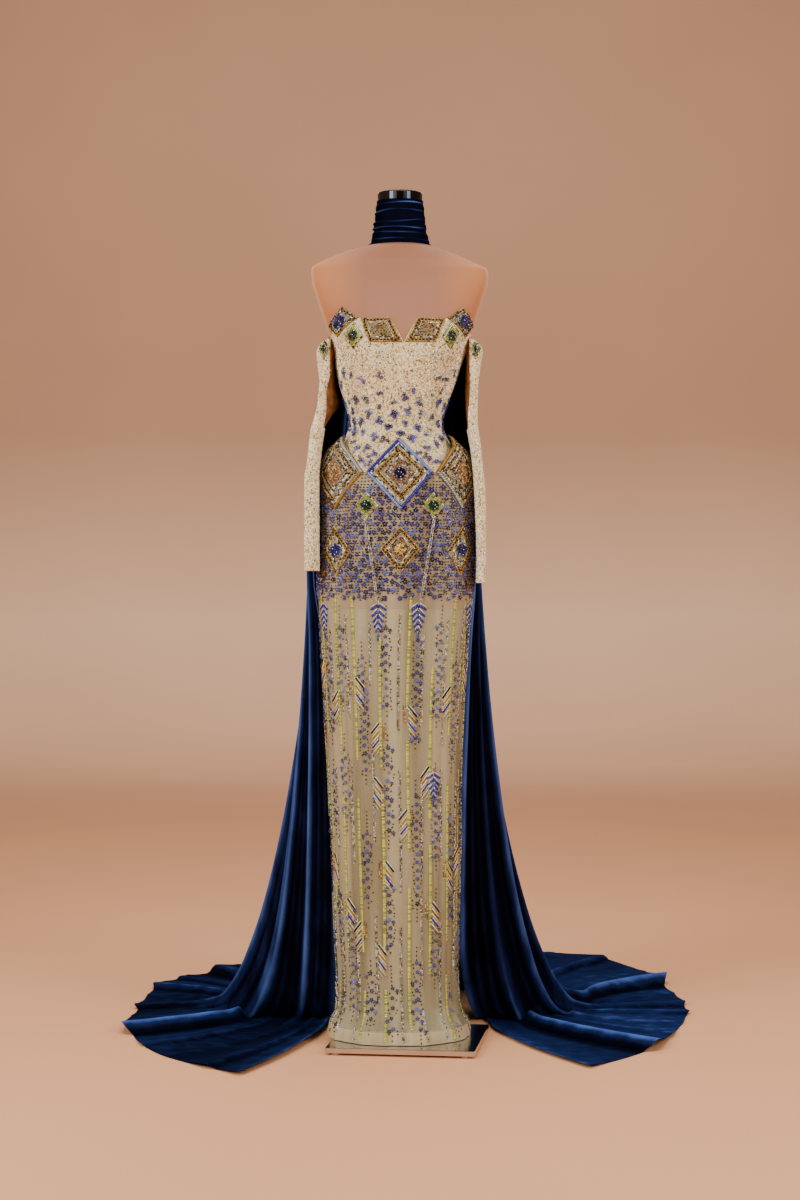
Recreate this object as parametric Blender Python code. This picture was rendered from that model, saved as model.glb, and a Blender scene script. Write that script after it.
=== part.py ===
"""Beaded mermaid gown with off-shoulder sleeves, velvet collar and velvet cape, on a limbless dress form.

Metres, +Z up, the front of the gown faces -Y. Left and right are as seen from the front: l is -X, r is +X.
The figure's own axis is at x = 0, y = 0 of every mesh. One empty carries all pieces, and it stands so that
the middle of the whole footprint, train included, is at the origin.
"""

import math
from collections import namedtuple

import bmesh
import bpy
from mathutils import Vector

# Driving sizes of the cloth
CLOTH = 0.002
SEAM = 0.00035
TRIM_GAP = 0.0005
SLEEVE_TRIM_GAP = 0.0008
EASE = 0.0006
GOWN_OUT = EASE + CLOTH
TRIM_THICK = 0.0022
FRONT_TURN = 2.5
SIDE_SEAM = 92.0

# Driving heights
HEM_Z = 0.0215
LINING_HEM_Z = 0.0300
HIP_SEAM_Z = 1.205
YOKE_Z = 1.4274
FORM_FOOT_Z = 0.919
CAP_Z = (1.7810, 1.8040)

# Base and pole of the dress form
PLATE_SIDE = 0.310
PLATE_Z = (0.0050, 0.0160)
PLATE_AT = (0.019, -0.028)
PLATE_YAW = -7.5
PLATE_EDGE = 0.0012
FOOT_RADIUS = 0.010
FOOT_INSET = 0.020
POLE_RADIUS = 0.014
CAP_RADIUS = 0.0478
CAP_EDGE = 0.003

# The figure from hem to neck: the form's skin above its foot, the inside of the skirt below it
Section = namedtuple("Section", "height half_width front back shift")
FIGURE = (
    Section(0.0200, 0.1485, 0.1445, 0.1400, -0.0021),
    Section(0.0444, 0.1431, 0.1390, 0.1350, -0.0020),
    Section(0.0657, 0.1315, 0.1260, 0.1230, -0.0030),
    Section(0.0869, 0.1261, 0.1160, 0.1140, -0.0032),
    Section(0.1295, 0.1250, 0.1095, 0.1085, -0.0042),
    Section(0.2146, 0.1277, 0.1080, 0.1080, -0.0058),
    Section(0.3848, 0.1330, 0.1080, 0.1090, -0.0079),
    Section(0.5550, 0.1379, 0.1090, 0.1110, -0.0107),
    Section(0.7252, 0.1458, 0.1110, 0.1150, -0.0122),
    Section(0.8529, 0.1538, 0.1130, 0.1190, -0.0117),
    Section(0.9380, 0.1605, 0.1140, 0.1220, -0.0100),
    Section(0.9900, 0.1633, 0.1130, 0.1250, -0.0085),
    Section(1.1082, 0.1644, 0.1090, 0.1290, -0.0074),
    Section(1.1600, 0.1632, 0.1070, 0.1260, -0.0069),
    Section(1.2000, 0.1570, 0.1030, 0.1180, -0.0066),
    Section(1.2360, 0.1370, 0.0970, 0.1050, -0.0070),
    Section(1.2784, 0.1060, 0.0890, 0.0880, -0.0085),
    Section(1.3120, 0.0938, 0.0860, 0.0830, -0.0095),
    Section(1.3350, 0.0980, 0.0890, 0.0830, -0.0090),
    Section(1.3635, 0.1070, 0.0950, 0.0850, -0.0075),
    Section(1.3848, 0.1155, 0.0995, 0.0880, -0.0070),
    Section(1.4274, 0.1272, 0.1070, 0.0940, -0.0043),
    Section(1.4699, 0.1378, 0.1110, 0.1000, 0.0000),
    Section(1.4920, 0.1490, 0.1100, 0.1030, 0.0000),
    Section(1.5125, 0.1570, 0.1050, 0.1050, 0.0000),
    Section(1.5337, 0.1650, 0.0970, 0.1070, 0.0000),
    Section(1.5750, 0.1790, 0.0800, 0.1050, 0.0000),
    Section(1.6200, 0.1895, 0.0640, 0.0980, 0.0000),
    Section(1.6400, 0.1880, 0.0590, 0.0940, -0.0015),
    Section(1.6487, 0.1770, 0.0570, 0.0910, -0.0060),
    Section(1.6600, 0.1540, 0.0550, 0.0860, -0.0080),
    Section(1.6740, 0.1200, 0.0545, 0.0760, -0.0080),
    Section(1.6830, 0.0930, 0.0545, 0.0680, -0.0060),
    Section(1.6905, 0.0660, 0.0535, 0.0630, -0.0010),
    Section(1.6980, 0.0580, 0.0520, 0.0590, 0.0000),
    Section(1.7300, 0.0510, 0.0490, 0.0540, 0.0000),
    Section(1.7850, 0.0455, 0.0450, 0.0470, 0.0000),
)
ROUNDNESS = 2.15

# The bust: a soft mound each side of centre front
BUST_REACH = 0.018
BUST_AT = (0.070, 1.445)
BUST_SPREAD = (0.045, 0.050)

# Heights at which the gown and the form share their rows of points
SKIRT_ROWS = (HEM_Z, 0.046, 0.070, 0.100, 0.150, 0.300, 0.500, 0.700, 0.860, FORM_FOOT_Z, 1.020, 1.110, 1.165)
BODICE_ROWS = (HIP_SEAM_Z, 1.236, 1.2575, 1.2784, 1.296, 1.314, 1.338, 1.3635, 1.395, YOKE_Z)
YOKE_SHARES = (0.5, 1.0)
FORM_ROWS = (1.582, 1.605, 1.625, 1.640, 1.6487, 1.6600, 1.6740, 1.6830, 1.6880)
OVER_NECKLINE = 0.5

# The bodice's top edge by the turn away from centre front
NECKLINE = (
    (0.0, 1.4745), (8.8, 1.5270), (34.0, 1.5270), (45.0, 1.5500),
    (66.0, 1.5060), (80.0, 1.4860), (100.0, 1.4700), (130.0, 1.4520), (180.0, 1.4450),
)

# The collar, which is gathered into soft rings round the neck
Ring = namedtuple("Ring", "height reach")
COLLAR = (
    Ring(1.6912, 0.0036),
    Ring(1.6990, 0.0052),
    Ring(1.7090, 0.0066),
    Ring(1.7190, 0.0040),
    Ring(1.7290, 0.0068),
    Ring(1.7390, 0.0044),
    Ring(1.7490, 0.0064),
    Ring(1.7590, 0.0040),
    Ring(1.7690, 0.0064),
    Ring(1.7770, 0.0040),
    Ring(1.7850, 0.0052),
)

# Sleeves: flattened empty tubes; yaw swings the back of the oval towards the body
Tube = namedtuple("Tube", "height x_mid half_thick y_mid half_long yaw")
SLEEVES = {
    "l": (
        Tube(0.9990, -0.1850, 0.0145, -0.0540, 0.0440, 0.0),
        Tube(1.0860, -0.1857, 0.0143, -0.0540, 0.0430, 0.0),
        Tube(1.1918, -0.1857, 0.0140, -0.0540, 0.0440, 0.0),
        Tube(1.2340, -0.1813, 0.0125, -0.0450, 0.0450, 0.0),
        Tube(1.2975, -0.1740, 0.0128, -0.0300, 0.0470, 2.0),
        Tube(1.3190, -0.1660, 0.0120, -0.0200, 0.0480, 9.0),
        Tube(1.3600, -0.1510, 0.0115, -0.0080, 0.0480, 22.0),
        Tube(1.3820, -0.1520, 0.0115, -0.0060, 0.0490, 16.0),
        Tube(1.4138, -0.1545, 0.0150, -0.0050, 0.0500, 5.0),
        Tube(1.4625, -0.1575, 0.0175, -0.0050, 0.0500, 2.0),
        Tube(1.4920, -0.1575, 0.0175, -0.0050, 0.0500, 0.0),
    ),
    "r": (
        Tube(0.9740, 0.1695, 0.0075, -0.0560, 0.0430, -2.0),
        Tube(1.0226, 0.1708, 0.0080, -0.0560, 0.0430, 0.0),
        Tube(1.0850, 0.1700, 0.0088, -0.0560, 0.0430, 0.0),
        Tube(1.1700, 0.1677, 0.0100, -0.0540, 0.0440, 0.0),
        Tube(1.2130, 0.1640, 0.0092, -0.0450, 0.0450, 0.0),
        Tube(1.2552, 0.1602, 0.0095, -0.0360, 0.0460, -1.5),
        Tube(1.3187, 0.1520, 0.0100, -0.0180, 0.0480, -3.5),
        Tube(1.3820, 0.1510, 0.0110, -0.0070, 0.0490, -6.5),
        Tube(1.4413, 0.1550, 0.0150, -0.0050, 0.0500, -3.0),
        Tube(1.4625, 0.1565, 0.0170, -0.0050, 0.0500, -2.0),
        Tube(1.4920, 0.1565, 0.0170, -0.0050, 0.0500, 0.0),
    ),
}
SLEEVE_COLUMNS = 14
SLEEVE_SHARES = (0.0, 0.18, 0.38, 0.54, 0.64, 0.72, 0.79, 0.88, 1.0)
ARMHOLE_Z = 1.4760
ARMHOLE_TILT = 0.0140
ARMHOLE_PEAK = -50.0

# Diamond trims: corner turns in degrees from centre front, corner heights, for the +X side
Trim = namedtuple("Trim", "name turns heights finish both")
TRIMS = (
    Trim("neck_centre", (0.9, 27.0, 30.5, 8.8), (1.4745, 1.4745, 1.5270, 1.5270), "trim_gold", True),
    Trim("neck_green", (45.5, 51.5, 36.5, 31.5), (1.4620, 1.4955, 1.5185, 1.4870), "trim_green", True),
    Trim("neck_navy", (61.0, 70.0, 45.0, 32.2), (1.4900, 1.5140, 1.5535, 1.5280), "trim_navy", True),
    Trim("hip_centre", (0.0, 25.0, 0.0, -25.0), (1.1236, 1.2049, 1.2780, 1.2049), "trim_gold", False),
    Trim("hip_side", (51.0, 90.0, 70.0, 26.4), (1.1260, 1.2000, 1.2870, 1.2060), "trim_gold", True),
    Trim("hip_green", (23.0, 32.0, 23.0, 14.0), (1.1060, 1.1350, 1.1640, 1.1350), "trim_green", True),
    Trim("low_centre", (0.0, 13.0, 0.0, -13.0), (0.9922, 1.0443, 1.0923, 1.0443), "trim_gold", False),
    Trim("low_side", (49.0, 66.0, 52.0, 34.5), (0.9870, 1.0450, 1.0965, 1.0410), "trim_gold", True),
)
# The hip's side trims are stiff, and stand off the waist by this much at each height
STAND_OFF = (
    (1.195, 0.0), (1.2146, 0.007), (1.236, 0.0155), (1.257, 0.0225), (1.2784, 0.0165), (1.2933, 0.006),
)
STAND_OFF_TURNS = (30.0, 62.0)
SLEEVE_TRIM = ((0.02, 1.4430), (0.80, 1.4690), (0.02, 1.4850), (-0.70, 1.4690))

# The cape where it hangs: a horseshoe in plan, opening to the front
Hang = namedtuple("Hang", "height half_l half_r y_side y_reach wrap fold clear")
CAPE_HANG = (
    Hang(1.6885, 0.0680, 0.0680, 0.0000, 0.0560, 50.0, 0.0000, 0.0040),
    Hang(1.6760, 0.0820, 0.0820, 0.0080, 0.0640, 54.0, 0.0004, 0.0075),
    Hang(1.6600, 0.0980, 0.0980, 0.0200, 0.0720, 60.0, 0.0010, 0.0110),
    Hang(1.6100, 0.1200, 0.1200, 0.0420, 0.0720, 72.0, 0.0030, 0.0080),
    Hang(1.5400, 0.1420, 0.1420, 0.0600, 0.0640, 86.0, 0.0050, 0.0080),
    Hang(1.4500, 0.1620, 0.1570, 0.0740, 0.0620, 98.0, 0.0070, 0.0080),
    Hang(1.3100, 0.1780, 0.1610, 0.0870, 0.0660, 106.0, 0.0090, 0.0080),
    Hang(1.1550, 0.1880, 0.1620, 0.0950, 0.0780, 109.0, 0.0100, 0.0080),
    Hang(1.0000, 0.1940, 0.1650, 0.1000, 0.0900, 111.0, 0.0110, 0.0080),
)
# How far each fold line has run out from the hip to the floor, and how steeply it falls
CAPE_RUN = (0.08, 0.17, 0.28, 0.40, 0.54, 0.70, 0.85, 1.00)
# How far the front edges are drawn in behind the skirt's sides at each of these, and over how many fold lines
EDGE_IN_L = (0.020, 0.027, 0.032, 0.034, 0.031, 0.024, 0.013, 0.0)
EDGE_IN_R = (0.012, 0.021, 0.030, 0.036, 0.039, 0.030, 0.013, 0.0)
EDGE_IN_SPREAD = 0.9
CAPE_RUN_POWER = 1.2
CAPE_FALL_POWER = 2.1
CAPE_FLOOR = (0.25, 0.50, 0.75, 1.00)
CAPE_FLOOR_POWER = 1.7
# Fold lines from the left front edge, round the back, to the right front edge
Gore = namedtuple("Gore", "touch_x touch_y hem_x hem_y depth")
GORES = (
    Gore(-0.150, 0.270, -0.315, -0.370, 0.5),
    Gore(-0.245, 0.270, -0.505, -0.150, 1.0),
    Gore(-0.375, 0.320, -0.590, 0.100, 0.8),
    Gore(-0.455, 0.420, -0.605, 0.380, 1.2),
    Gore(-0.425, 0.560, -0.595, 0.680, 0.9),
    Gore(-0.330, 0.660, -0.470, 0.920, 1.1),
    Gore(-0.160, 0.700, -0.240, 1.090, 0.9),
    Gore(0.010, 0.720, 0.040, 1.200, 0.8),
    Gore(0.180, 0.700, 0.300, 1.260, 1.0),
    Gore(0.330, 0.640, 0.515, 1.180, 0.9),
    Gore(0.425, 0.540, 0.630, 0.820, 1.2),
    Gore(0.450, 0.410, 0.660, 0.450, 0.8),
    Gore(0.375, 0.310, 0.620, 0.150, 1.1),
    Gore(0.260, 0.260, 0.520, -0.110, 0.9),
    Gore(0.186, 0.270, 0.380, -0.300, 0.5),
)
CAPE_STEPS = 4
CAPE_FLOOR_FOLD = 0.016


def smooth_value(keys, values, key):
    """Cubic through the rows with level slopes at turning points, so that nothing overshoots."""
    key = min(max(key, keys[0]), keys[-1])
    i = max(j for j in range(len(keys) - 1) if keys[j] <= key)
    gaps = [keys[j + 1] - keys[j] for j in range(len(keys) - 1)]
    rises = [(values[j + 1] - values[j]) / gaps[j] for j in range(len(gaps))]

    def slope(j):
        if j in (0, len(keys) - 1):
            return rises[min(j, len(rises) - 1)]
        before, after = rises[j - 1], rises[j]
        return 0.0 if before * after <= 0 else 2 * before * after / (before + after)

    gap, t = gaps[i], (key - keys[i]) / gaps[i]
    start, end = slope(i) * gap, slope(i + 1) * gap
    return (
        values[i] * (1 + 2 * t) * (1 - t) ** 2
        + start * t * (1 - t) ** 2
        + values[i + 1] * t * t * (3 - 2 * t)
        + end * t * t * (t - 1)
    )


def straight_value(pairs, key):
    """A value on the straight lines between (key, value) pairs."""
    key = min(max(key, pairs[0][0]), pairs[-1][0])
    for (low, start), (high, end) in zip(pairs, pairs[1:]):
        if key <= high:
            return start + (end - start) * (key - low) / (high - low)
    return pairs[-1][1]


def row_at(table, height):
    """The table's row at any height between its rows, as the same kind of named row."""
    rows = sorted(table, key=lambda row: row.height)
    keys = [row.height for row in rows]
    columns = zip(*rows)
    return type(rows[0])(*(smooth_value(keys, column, height) for column in columns))


def signed_power(value, power):
    return math.copysign(abs(value) ** power, value)


def bust(x, height):
    """How far the bust stands forward of the plain section."""
    across = (abs(x) - BUST_AT[0]) / BUST_SPREAD[0]
    up = (height - BUST_AT[1]) / BUST_SPREAD[1]
    return BUST_REACH * math.exp(-across * across - up * up)


def figure_point(turn, height, out):
    """A point `turn` degrees round from the front, `out` metres outside the figure's skin."""
    row = row_at(FIGURE, height)
    angle = math.radians(turn)
    depth = row.front if math.cos(angle) > 0 else row.back
    x = (row.half_width + out) * signed_power(math.sin(angle), 2 / ROUNDNESS)
    y = -(depth + out) * signed_power(math.cos(angle), 2 / ROUNDNESS)
    if math.cos(angle) > 0:
        y -= bust(x, height) * math.cos(angle)
    return Vector((x + row.shift, y, height))


def figure_back(x, height, out):
    """How far back the figure's skin, moved out, reaches at this x; below zero beside the figure."""
    row = row_at(FIGURE, height)
    share = abs(x - row.shift) / (row.half_width + out)
    if share >= 1:
        return -1.0
    return (row.back + out) * (1 - share**ROUNDNESS) ** (1 / ROUNDNESS)


def clear_of_figure(point, out):
    """The point, moved sideways where it's less than `out` outside the figure's skin."""
    row = row_at(FIGURE, point.z)
    depth = (row.front if point.y < 0 else row.back) + out
    share = abs(point.y) / depth
    if share < 1:
        side = math.copysign(1, point.x)
        limit = (row.half_width + out) * (1 - share**ROUNDNESS) ** (1 / ROUNDNESS)
        point.x = side * max(side * point.x, limit + side * row.shift)
    return point


def spread(first, last, count):
    return [first + (last - first) * i / (count - 1) for i in range(count)]


def neckline(turn):
    return straight_value(NECKLINE, abs((turn - FRONT_TURN + 180) % 360 - 180))


def yoke_heights(turn):
    """Rows from the yoke to the bodice's top edge."""
    return [YOKE_Z + (neckline(turn) - YOKE_Z) * share for share in YOKE_SHARES]


def upper_heights(turn):
    """Rows of the form above the bodice, to just under the collar."""
    between = neckline(turn) + (FORM_ROWS[0] - neckline(turn)) * OVER_NECKLINE
    return [between, *FORM_ROWS]


FRONT_TURNS = sorted([*spread(-SIDE_SEAM, SIDE_SEAM, 17), -8.8, 8.8])
BACK_R_TURNS = spread(SIDE_SEAM, 180.0, 8)
BACK_L_TURNS = spread(-180.0, -SIDE_SEAM, 8)
ALL_TURNS = [t + FRONT_TURN for t in (*FRONT_TURNS[:-1], *BACK_R_TURNS[:-1], *BACK_L_TURNS[:-1])]


def material(name, colour, roughness, metallic=0.0):
    made = bpy.data.materials.new(name)
    made.use_nodes = True
    shader = made.node_tree.nodes["Principled BSDF"]
    shader.inputs["Base Color"].default_value = (*colour, 1.0)
    shader.inputs["Roughness"].default_value = roughness
    shader.inputs["Metallic"].default_value = metallic
    return made


def add_object(name, mesh, finish, parent):
    mesh.materials.append(finish)
    mesh.shade_smooth()
    mesh.set_sharp_from_angle(angle=math.radians(50))
    made = bpy.data.objects.new(name, mesh)
    bpy.context.scene.collection.objects.link(made)
    made.parent = parent
    return made


def mesh_from(name, points, faces):
    """A mesh whose faces all point outwards."""
    mesh = bpy.data.meshes.new(name)
    shape = bmesh.new()
    corners = [shape.verts.new(point) for point in points]
    for face in faces:
        shape.faces.new([corners[i] for i in face])
    bmesh.ops.recalc_face_normals(shape, faces=shape.faces)
    shape.to_mesh(mesh)
    shape.free()
    return mesh


def grid_faces(rows, columns, wrap=False):
    """Triangles of a grid, each cell split from its first corner to its opposite one."""
    faces = []
    for r in range(rows - 1):
        for c in range(columns if wrap else columns - 1):
            a, b = r * columns + c, r * columns + (c + 1) % columns
            faces += [(a, b, b + columns), (a, b + columns, a + columns)]
    return faces


def wall(name, outer, inner, finish, parent, wrap=False):
    """A closed wall of cloth between two grids of points, given as rows; wrap closes each row into a ring."""
    rows, columns = len(outer), len(outer[0])
    points = [point for row in (*outer, *inner) for point in row]
    far = rows * columns
    faces = grid_faces(rows, columns, wrap)
    faces += [(far + a, far + c, far + b) for a, b, c in faces]
    for c in range(columns if wrap else columns - 1):
        for start in (0, far - columns):
            a, b = start + c, start + (c + 1) % columns
            faces.append((a, b, far + b, far + a))
    if not wrap:
        for r in range(rows - 1):
            for side in (0, columns - 1):
                a, b = r * columns + side, (r + 1) * columns + side
                faces.append((a, b, far + b, far + a))
    return add_object(name, mesh_from(name, points, faces), finish, parent)


def solid_of_rings(name, rings, finish, parent):
    """A closed solid through rings of points, with a flat face at each end."""
    columns = len(rings[0])
    points = [point for ring in rings for point in ring]
    faces = [tuple(range(columns)), tuple(range(len(points) - columns, len(points)))]
    faces += grid_faces(len(rings), columns, wrap=True)
    return add_object(name, mesh_from(name, points, faces), finish, parent)


def disc(name, radius, low, high, at, finish, parent, sides=32, edge=0.0):
    """An upright round piece, with its upper rim rounded off by `edge`."""
    profile = [(radius, low), (radius, high - edge)]
    if edge:
        profile += [(radius - edge * 0.3, high - edge * 0.3), (radius - edge, high)]
    around = [math.tau * i / sides for i in range(sides)]
    rings = [
        [Vector((at[0] + r * math.cos(a), at[1] + r * math.sin(a), z)) for a in around]
        for r, z in profile
    ]
    return solid_of_rings(name, rings, finish, parent)


def make_form(finishes, parent):
    """Torso, neck cap, pole, base plate and its feet."""
    low = [z for z in SKIRT_ROWS if z >= FORM_FOOT_Z]
    neck = [*(ring.height for ring in COLLAR if ring.height < CAP_Z[0] - SEAM), CAP_Z[0] - SEAM]
    columns = [[*low, *BODICE_ROWS, *yoke_heights(t), *upper_heights(t), *neck] for t in ALL_TURNS]
    rings = [
        [figure_point(turn, column[r], 0.0) for turn, column in zip(ALL_TURNS, columns)]
        for r in range(len(columns[0]))
    ]
    solid_of_rings("form_torso", rings, finishes["form_skin"], parent)

    disc("form_neck_cap", CAP_RADIUS, *CAP_Z, (0.0, 0.001), finishes["dark_metal"], parent, 40, CAP_EDGE)
    pole_ends = (PLATE_Z[1] + SEAM, FORM_FOOT_Z - SEAM)
    disc("form_pole", POLE_RADIUS, *pole_ends, PLATE_AT, finishes["steel"], parent, 24)

    bpy.ops.mesh.primitive_cube_add(size=1)
    plate = bpy.context.object
    plate.name = plate.data.name = "base_plate"
    for vertex in plate.data.vertices:
        vertex.co *= Vector((PLATE_SIDE, PLATE_SIDE, PLATE_Z[1] - PLATE_Z[0]))
    plate.location = (*PLATE_AT, sum(PLATE_Z) / 2)
    plate.rotation_euler.z = math.radians(PLATE_YAW)
    plate.parent = parent
    plate.data.materials.append(finishes["steel"])
    bevel = plate.modifiers.new("edge", "BEVEL")
    bevel.width = PLATE_EDGE
    bevel.segments = 2
    yaw = math.radians(PLATE_YAW)
    reach = PLATE_SIDE / 2 - FOOT_INSET
    for i, (side, end) in enumerate(((-1, -1), (1, -1), (1, 1), (-1, 1))):
        x, y = side * reach, end * reach
        at = (
            PLATE_AT[0] + x * math.cos(yaw) - y * math.sin(yaw),
            PLATE_AT[1] + x * math.sin(yaw) + y * math.cos(yaw),
        )
        disc(f"base_foot_{i + 1}", FOOT_RADIUS, 0.0, PLATE_Z[0] - SEAM, at, finishes["foot"], parent, 20)


def seamed(turns):
    """A panel's turns, drawn in at both ends by half a seam's gap."""
    waist = min((row for row in FIGURE if HIP_SEAM_Z < row.height < YOKE_Z), key=lambda row: row.half_width)
    half_gap = math.degrees(0.5 * SEAM / min(waist.half_width, waist.back))
    moved = [turn + FRONT_TURN for turn in turns]
    moved[0] += half_gap
    moved[-1] -= half_gap
    return moved


def make_gown(finishes, parent):
    """Bodice and skirt panels with side seams and a centre back seam, and the lining below the form."""
    for panel, turns in (("front", FRONT_TURNS), ("back_r", BACK_R_TURNS), ("back_l", BACK_L_TURNS)):
        turns = seamed(turns)
        columns = [[HIP_SEAM_Z + SEAM, *BODICE_ROWS[1:], *yoke_heights(turn)] for turn in turns]
        heights = list(zip(*columns))
        grids = [
            [[figure_point(t, z, out) for t, z in zip(turns, row)] for row in heights]
            for out in (GOWN_OUT, EASE)
        ]
        wall(f"bodice_{panel}", *grids, finishes["cream_beads"], parent)
        grids = [
            [[figure_point(t, z, out) for t in turns] for z in (*SKIRT_ROWS, HIP_SEAM_Z)]
            for out in (GOWN_OUT, EASE)
        ]
        wall(f"skirt_{panel}", *grids, finishes["sheer_net"], parent)

    heights = (LINING_HEM_Z, 0.050, 0.075, 0.110, 0.300, 0.550, 0.800, 0.880, FORM_FOOT_Z - 0.003)
    outs = (-0.010, -0.012, -0.014, -0.014, -0.014, -0.012, -0.009, -0.005, 0.0)
    pleat = 0.004

    def lining(extra):
        return [
            [
                figure_point(turn, z, out - pleat * (c % 2) * min(1.0, -out / 0.009) + extra)
                for c, turn in enumerate(ALL_TURNS)
            ]
            for z, out in zip(heights, outs)
        ]

    wall("skirt_lining", lining(0.0), lining(-0.001), finishes["nude_net"], parent, wrap=True)


def patch(name, surface, corners, facing, finish, parent, gap=TRIM_GAP, stand_off=None):
    """A trim cut out of a faceted surface by four planes through its corners, moved out and thickened."""
    shape = bmesh.new()
    points = [shape.verts.new(point) for row in surface for point in row]
    for face in grid_faces(len(surface), len(surface[0])):
        shape.faces.new([points[i] for i in face])
    middle = sum(corners, Vector()) / 4
    for start, end in zip(corners, (*corners[1:], corners[0])):
        normal = (end - start).cross(facing).normalized()
        if normal.dot(middle - start) > 0:
            normal = -normal
        everything = [*shape.verts, *shape.edges, *shape.faces]
        bmesh.ops.bisect_plane(
            shape, geom=everything, dist=1e-5, plane_co=start, plane_no=normal, clear_outer=True
        )
    bmesh.ops.triangulate(shape, faces=shape.faces)
    if stand_off:
        for vertex in shape.verts:
            vertex.co += stand_off(vertex.co)
    bmesh.ops.recalc_face_normals(shape, faces=shape.faces)
    if sum((face.normal * face.calc_area() for face in shape.faces), Vector()).dot(facing) < 0:
        bmesh.ops.reverse_faces(shape, faces=shape.faces)
    shape.normal_update()
    vertices = list(shape.verts)
    number = {vertex: i for i, vertex in enumerate(vertices)}
    far = len(vertices)
    layers = [[v.co + v.normal * out for v in vertices] for out in (gap + TRIM_THICK, gap)]
    faces = [tuple(number[v] for v in face.verts) for face in shape.faces]
    faces += [tuple(far + i for i in reversed(face)) for face in faces]
    for edge in shape.edges:
        if edge.is_boundary:
            a, b = (number[v] for v in edge.verts)
            faces.append((a, b, far + b, far + a))
    shape.free()
    return add_object(name, mesh_from(name, [p for layer in layers for p in layer], faces), finish, parent)


def hip_stand_off(point):
    """How far a stiff trim at this place of the hip bows out from the gown."""
    row = row_at(FIGURE, point.z)
    out = Vector(((point.x - row.shift) / row.half_width**2, point.y / row.front**2, 0)).normalized()
    turn = math.degrees(math.atan2(abs(point.x - row.shift) / row.half_width, -point.y / row.front))
    low, high = STAND_OFF_TURNS
    share = min(max((turn - low) / (high - low), 0.0), 1.0)
    return out * straight_value(STAND_OFF, point.z) * share * share * (3 - 2 * share)


def make_trims(finishes, parent):
    """Beaded diamonds on the gown and the sleeves, each made from the cloth's own points, moved out."""
    for trim in TRIMS:
        for side in ((1, -1) if trim.both else (1,)):
            turns = [FRONT_TURN + side * turn for turn in trim.turns]
            middle = sum(turns) / 4
            corners = [figure_point(t, z, GOWN_OUT) for t, z in zip(turns, trim.heights)]
            near = [t for t in ALL_TURNS if abs((t - middle + 180) % 360 - 180) < 62]
            near.sort(key=lambda t: (t - middle + 180) % 360)
            columns = [[*SKIRT_ROWS[9:], *BODICE_ROWS, *yoke_heights(t), *upper_heights(t)[:1]] for t in near]
            surface = [
                [figure_point(t, z, GOWN_OUT) for t, z in zip(near, row)] for row in zip(*columns)
            ]
            centre = sum(trim.heights) / 4
            ahead = figure_point(middle, centre, 0.1) - figure_point(middle, centre, 0.0)
            name = trim.name + ("" if not trim.both else "_r" if side > 0 else "_l")
            bow = hip_stand_off if trim.name == "hip_side" else None
            patch(name, surface, corners, ahead.normalized(), finishes[trim.finish], parent, stand_off=bow)


def sleeve_point(table, angle, height, inward):
    """A point on a sleeve's oval; angle 0 is its front end, 90 degrees its outer side."""
    row = row_at(table, height)
    side = math.copysign(1, row.x_mid)
    x = side * (row.half_thick - inward) * math.sin(angle)
    y = -(row.half_long - inward) * math.cos(angle)
    yaw = -math.radians(row.yaw)
    at = Vector((
        row.x_mid + x * math.cos(yaw) - y * math.sin(yaw),
        row.y_mid + x * math.sin(yaw) + y * math.cos(yaw),
        height,
    ))
    return clear_of_figure(at, GOWN_OUT + SEAM + inward)


def sleeve_top(angle):
    """The armhole edge is highest at the front, next to the body."""
    return ARMHOLE_Z + ARMHOLE_TILT * math.cos(angle - math.radians(ARMHOLE_PEAK))


def make_sleeves(finishes, parent):
    angles = [math.tau * c / SLEEVE_COLUMNS for c in range(SLEEVE_COLUMNS)]
    for side, table in SLEEVES.items():
        low = table[0].height
        outer, inner = (
            [
                [sleeve_point(table, a, low + (sleeve_top(a) - low) * share, inward) for a in angles]
                for share in SLEEVE_SHARES
            ]
            for inward in (0.0, CLOTH)
        )
        wall(f"sleeve_{side}", outer, inner, finishes["cream_beads"], parent, wrap=True)
        corners = [sleeve_point(table, angle, height, 0.0) for angle, height in SLEEVE_TRIM]
        facing = Vector((0.25 * math.copysign(1, table[0].x_mid), -1, 0)).normalized()
        ahead = [[*row[-2:], *row[:4]] for row in outer]
        patch(f"sleeve_green_{side}", ahead, corners, facing, finishes["trim_green"], parent, SLEEVE_TRIM_GAP)


def make_collar(finishes, parent):
    """The gathered velvet collar round the neck."""
    outer, inner = (
        [[figure_point(t, ring.height, ring.reach - inward) for t in ALL_TURNS] for ring in COLLAR]
        for inward in (0.0, CLOTH)
    )
    wall("collar", outer, inner, finishes["velvet"], parent, wrap=True)


def gore_at(position):
    """The fold line's row at any place between its neighbours, on a smooth curve."""
    last = len(GORES) - 1
    i = min(int(position), last - 1)
    t = position - i
    values = []
    for column in zip(*GORES):
        a, b = column[i], column[i + 1]
        before = column[i - 1] if i else 2 * a - b
        after = column[i + 2] if i + 2 <= last else 2 * b - a
        values.append(0.5 * (
            2 * a + (b - before) * t + (2 * before - 5 * a + 4 * b - after) * t * t
            + (3 * a - before - 3 * b + after) * t**3
        ))
    return Gore(*values)


def cape_hang_point(position, height):
    """A point of the hanging cape, on the figure's back or clear behind it."""
    row = row_at(CAPE_HANG, height)
    angle = math.radians(row.wrap) * (2 * position / (len(GORES) - 1) - 1)
    x = (row.half_l if angle < 0 else row.half_r) * math.sin(angle)
    y = row.y_side + row.y_reach * math.cos(angle)
    return Vector((x, max(y, figure_back(x, height, row.clear + row.fold)), height))


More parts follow.
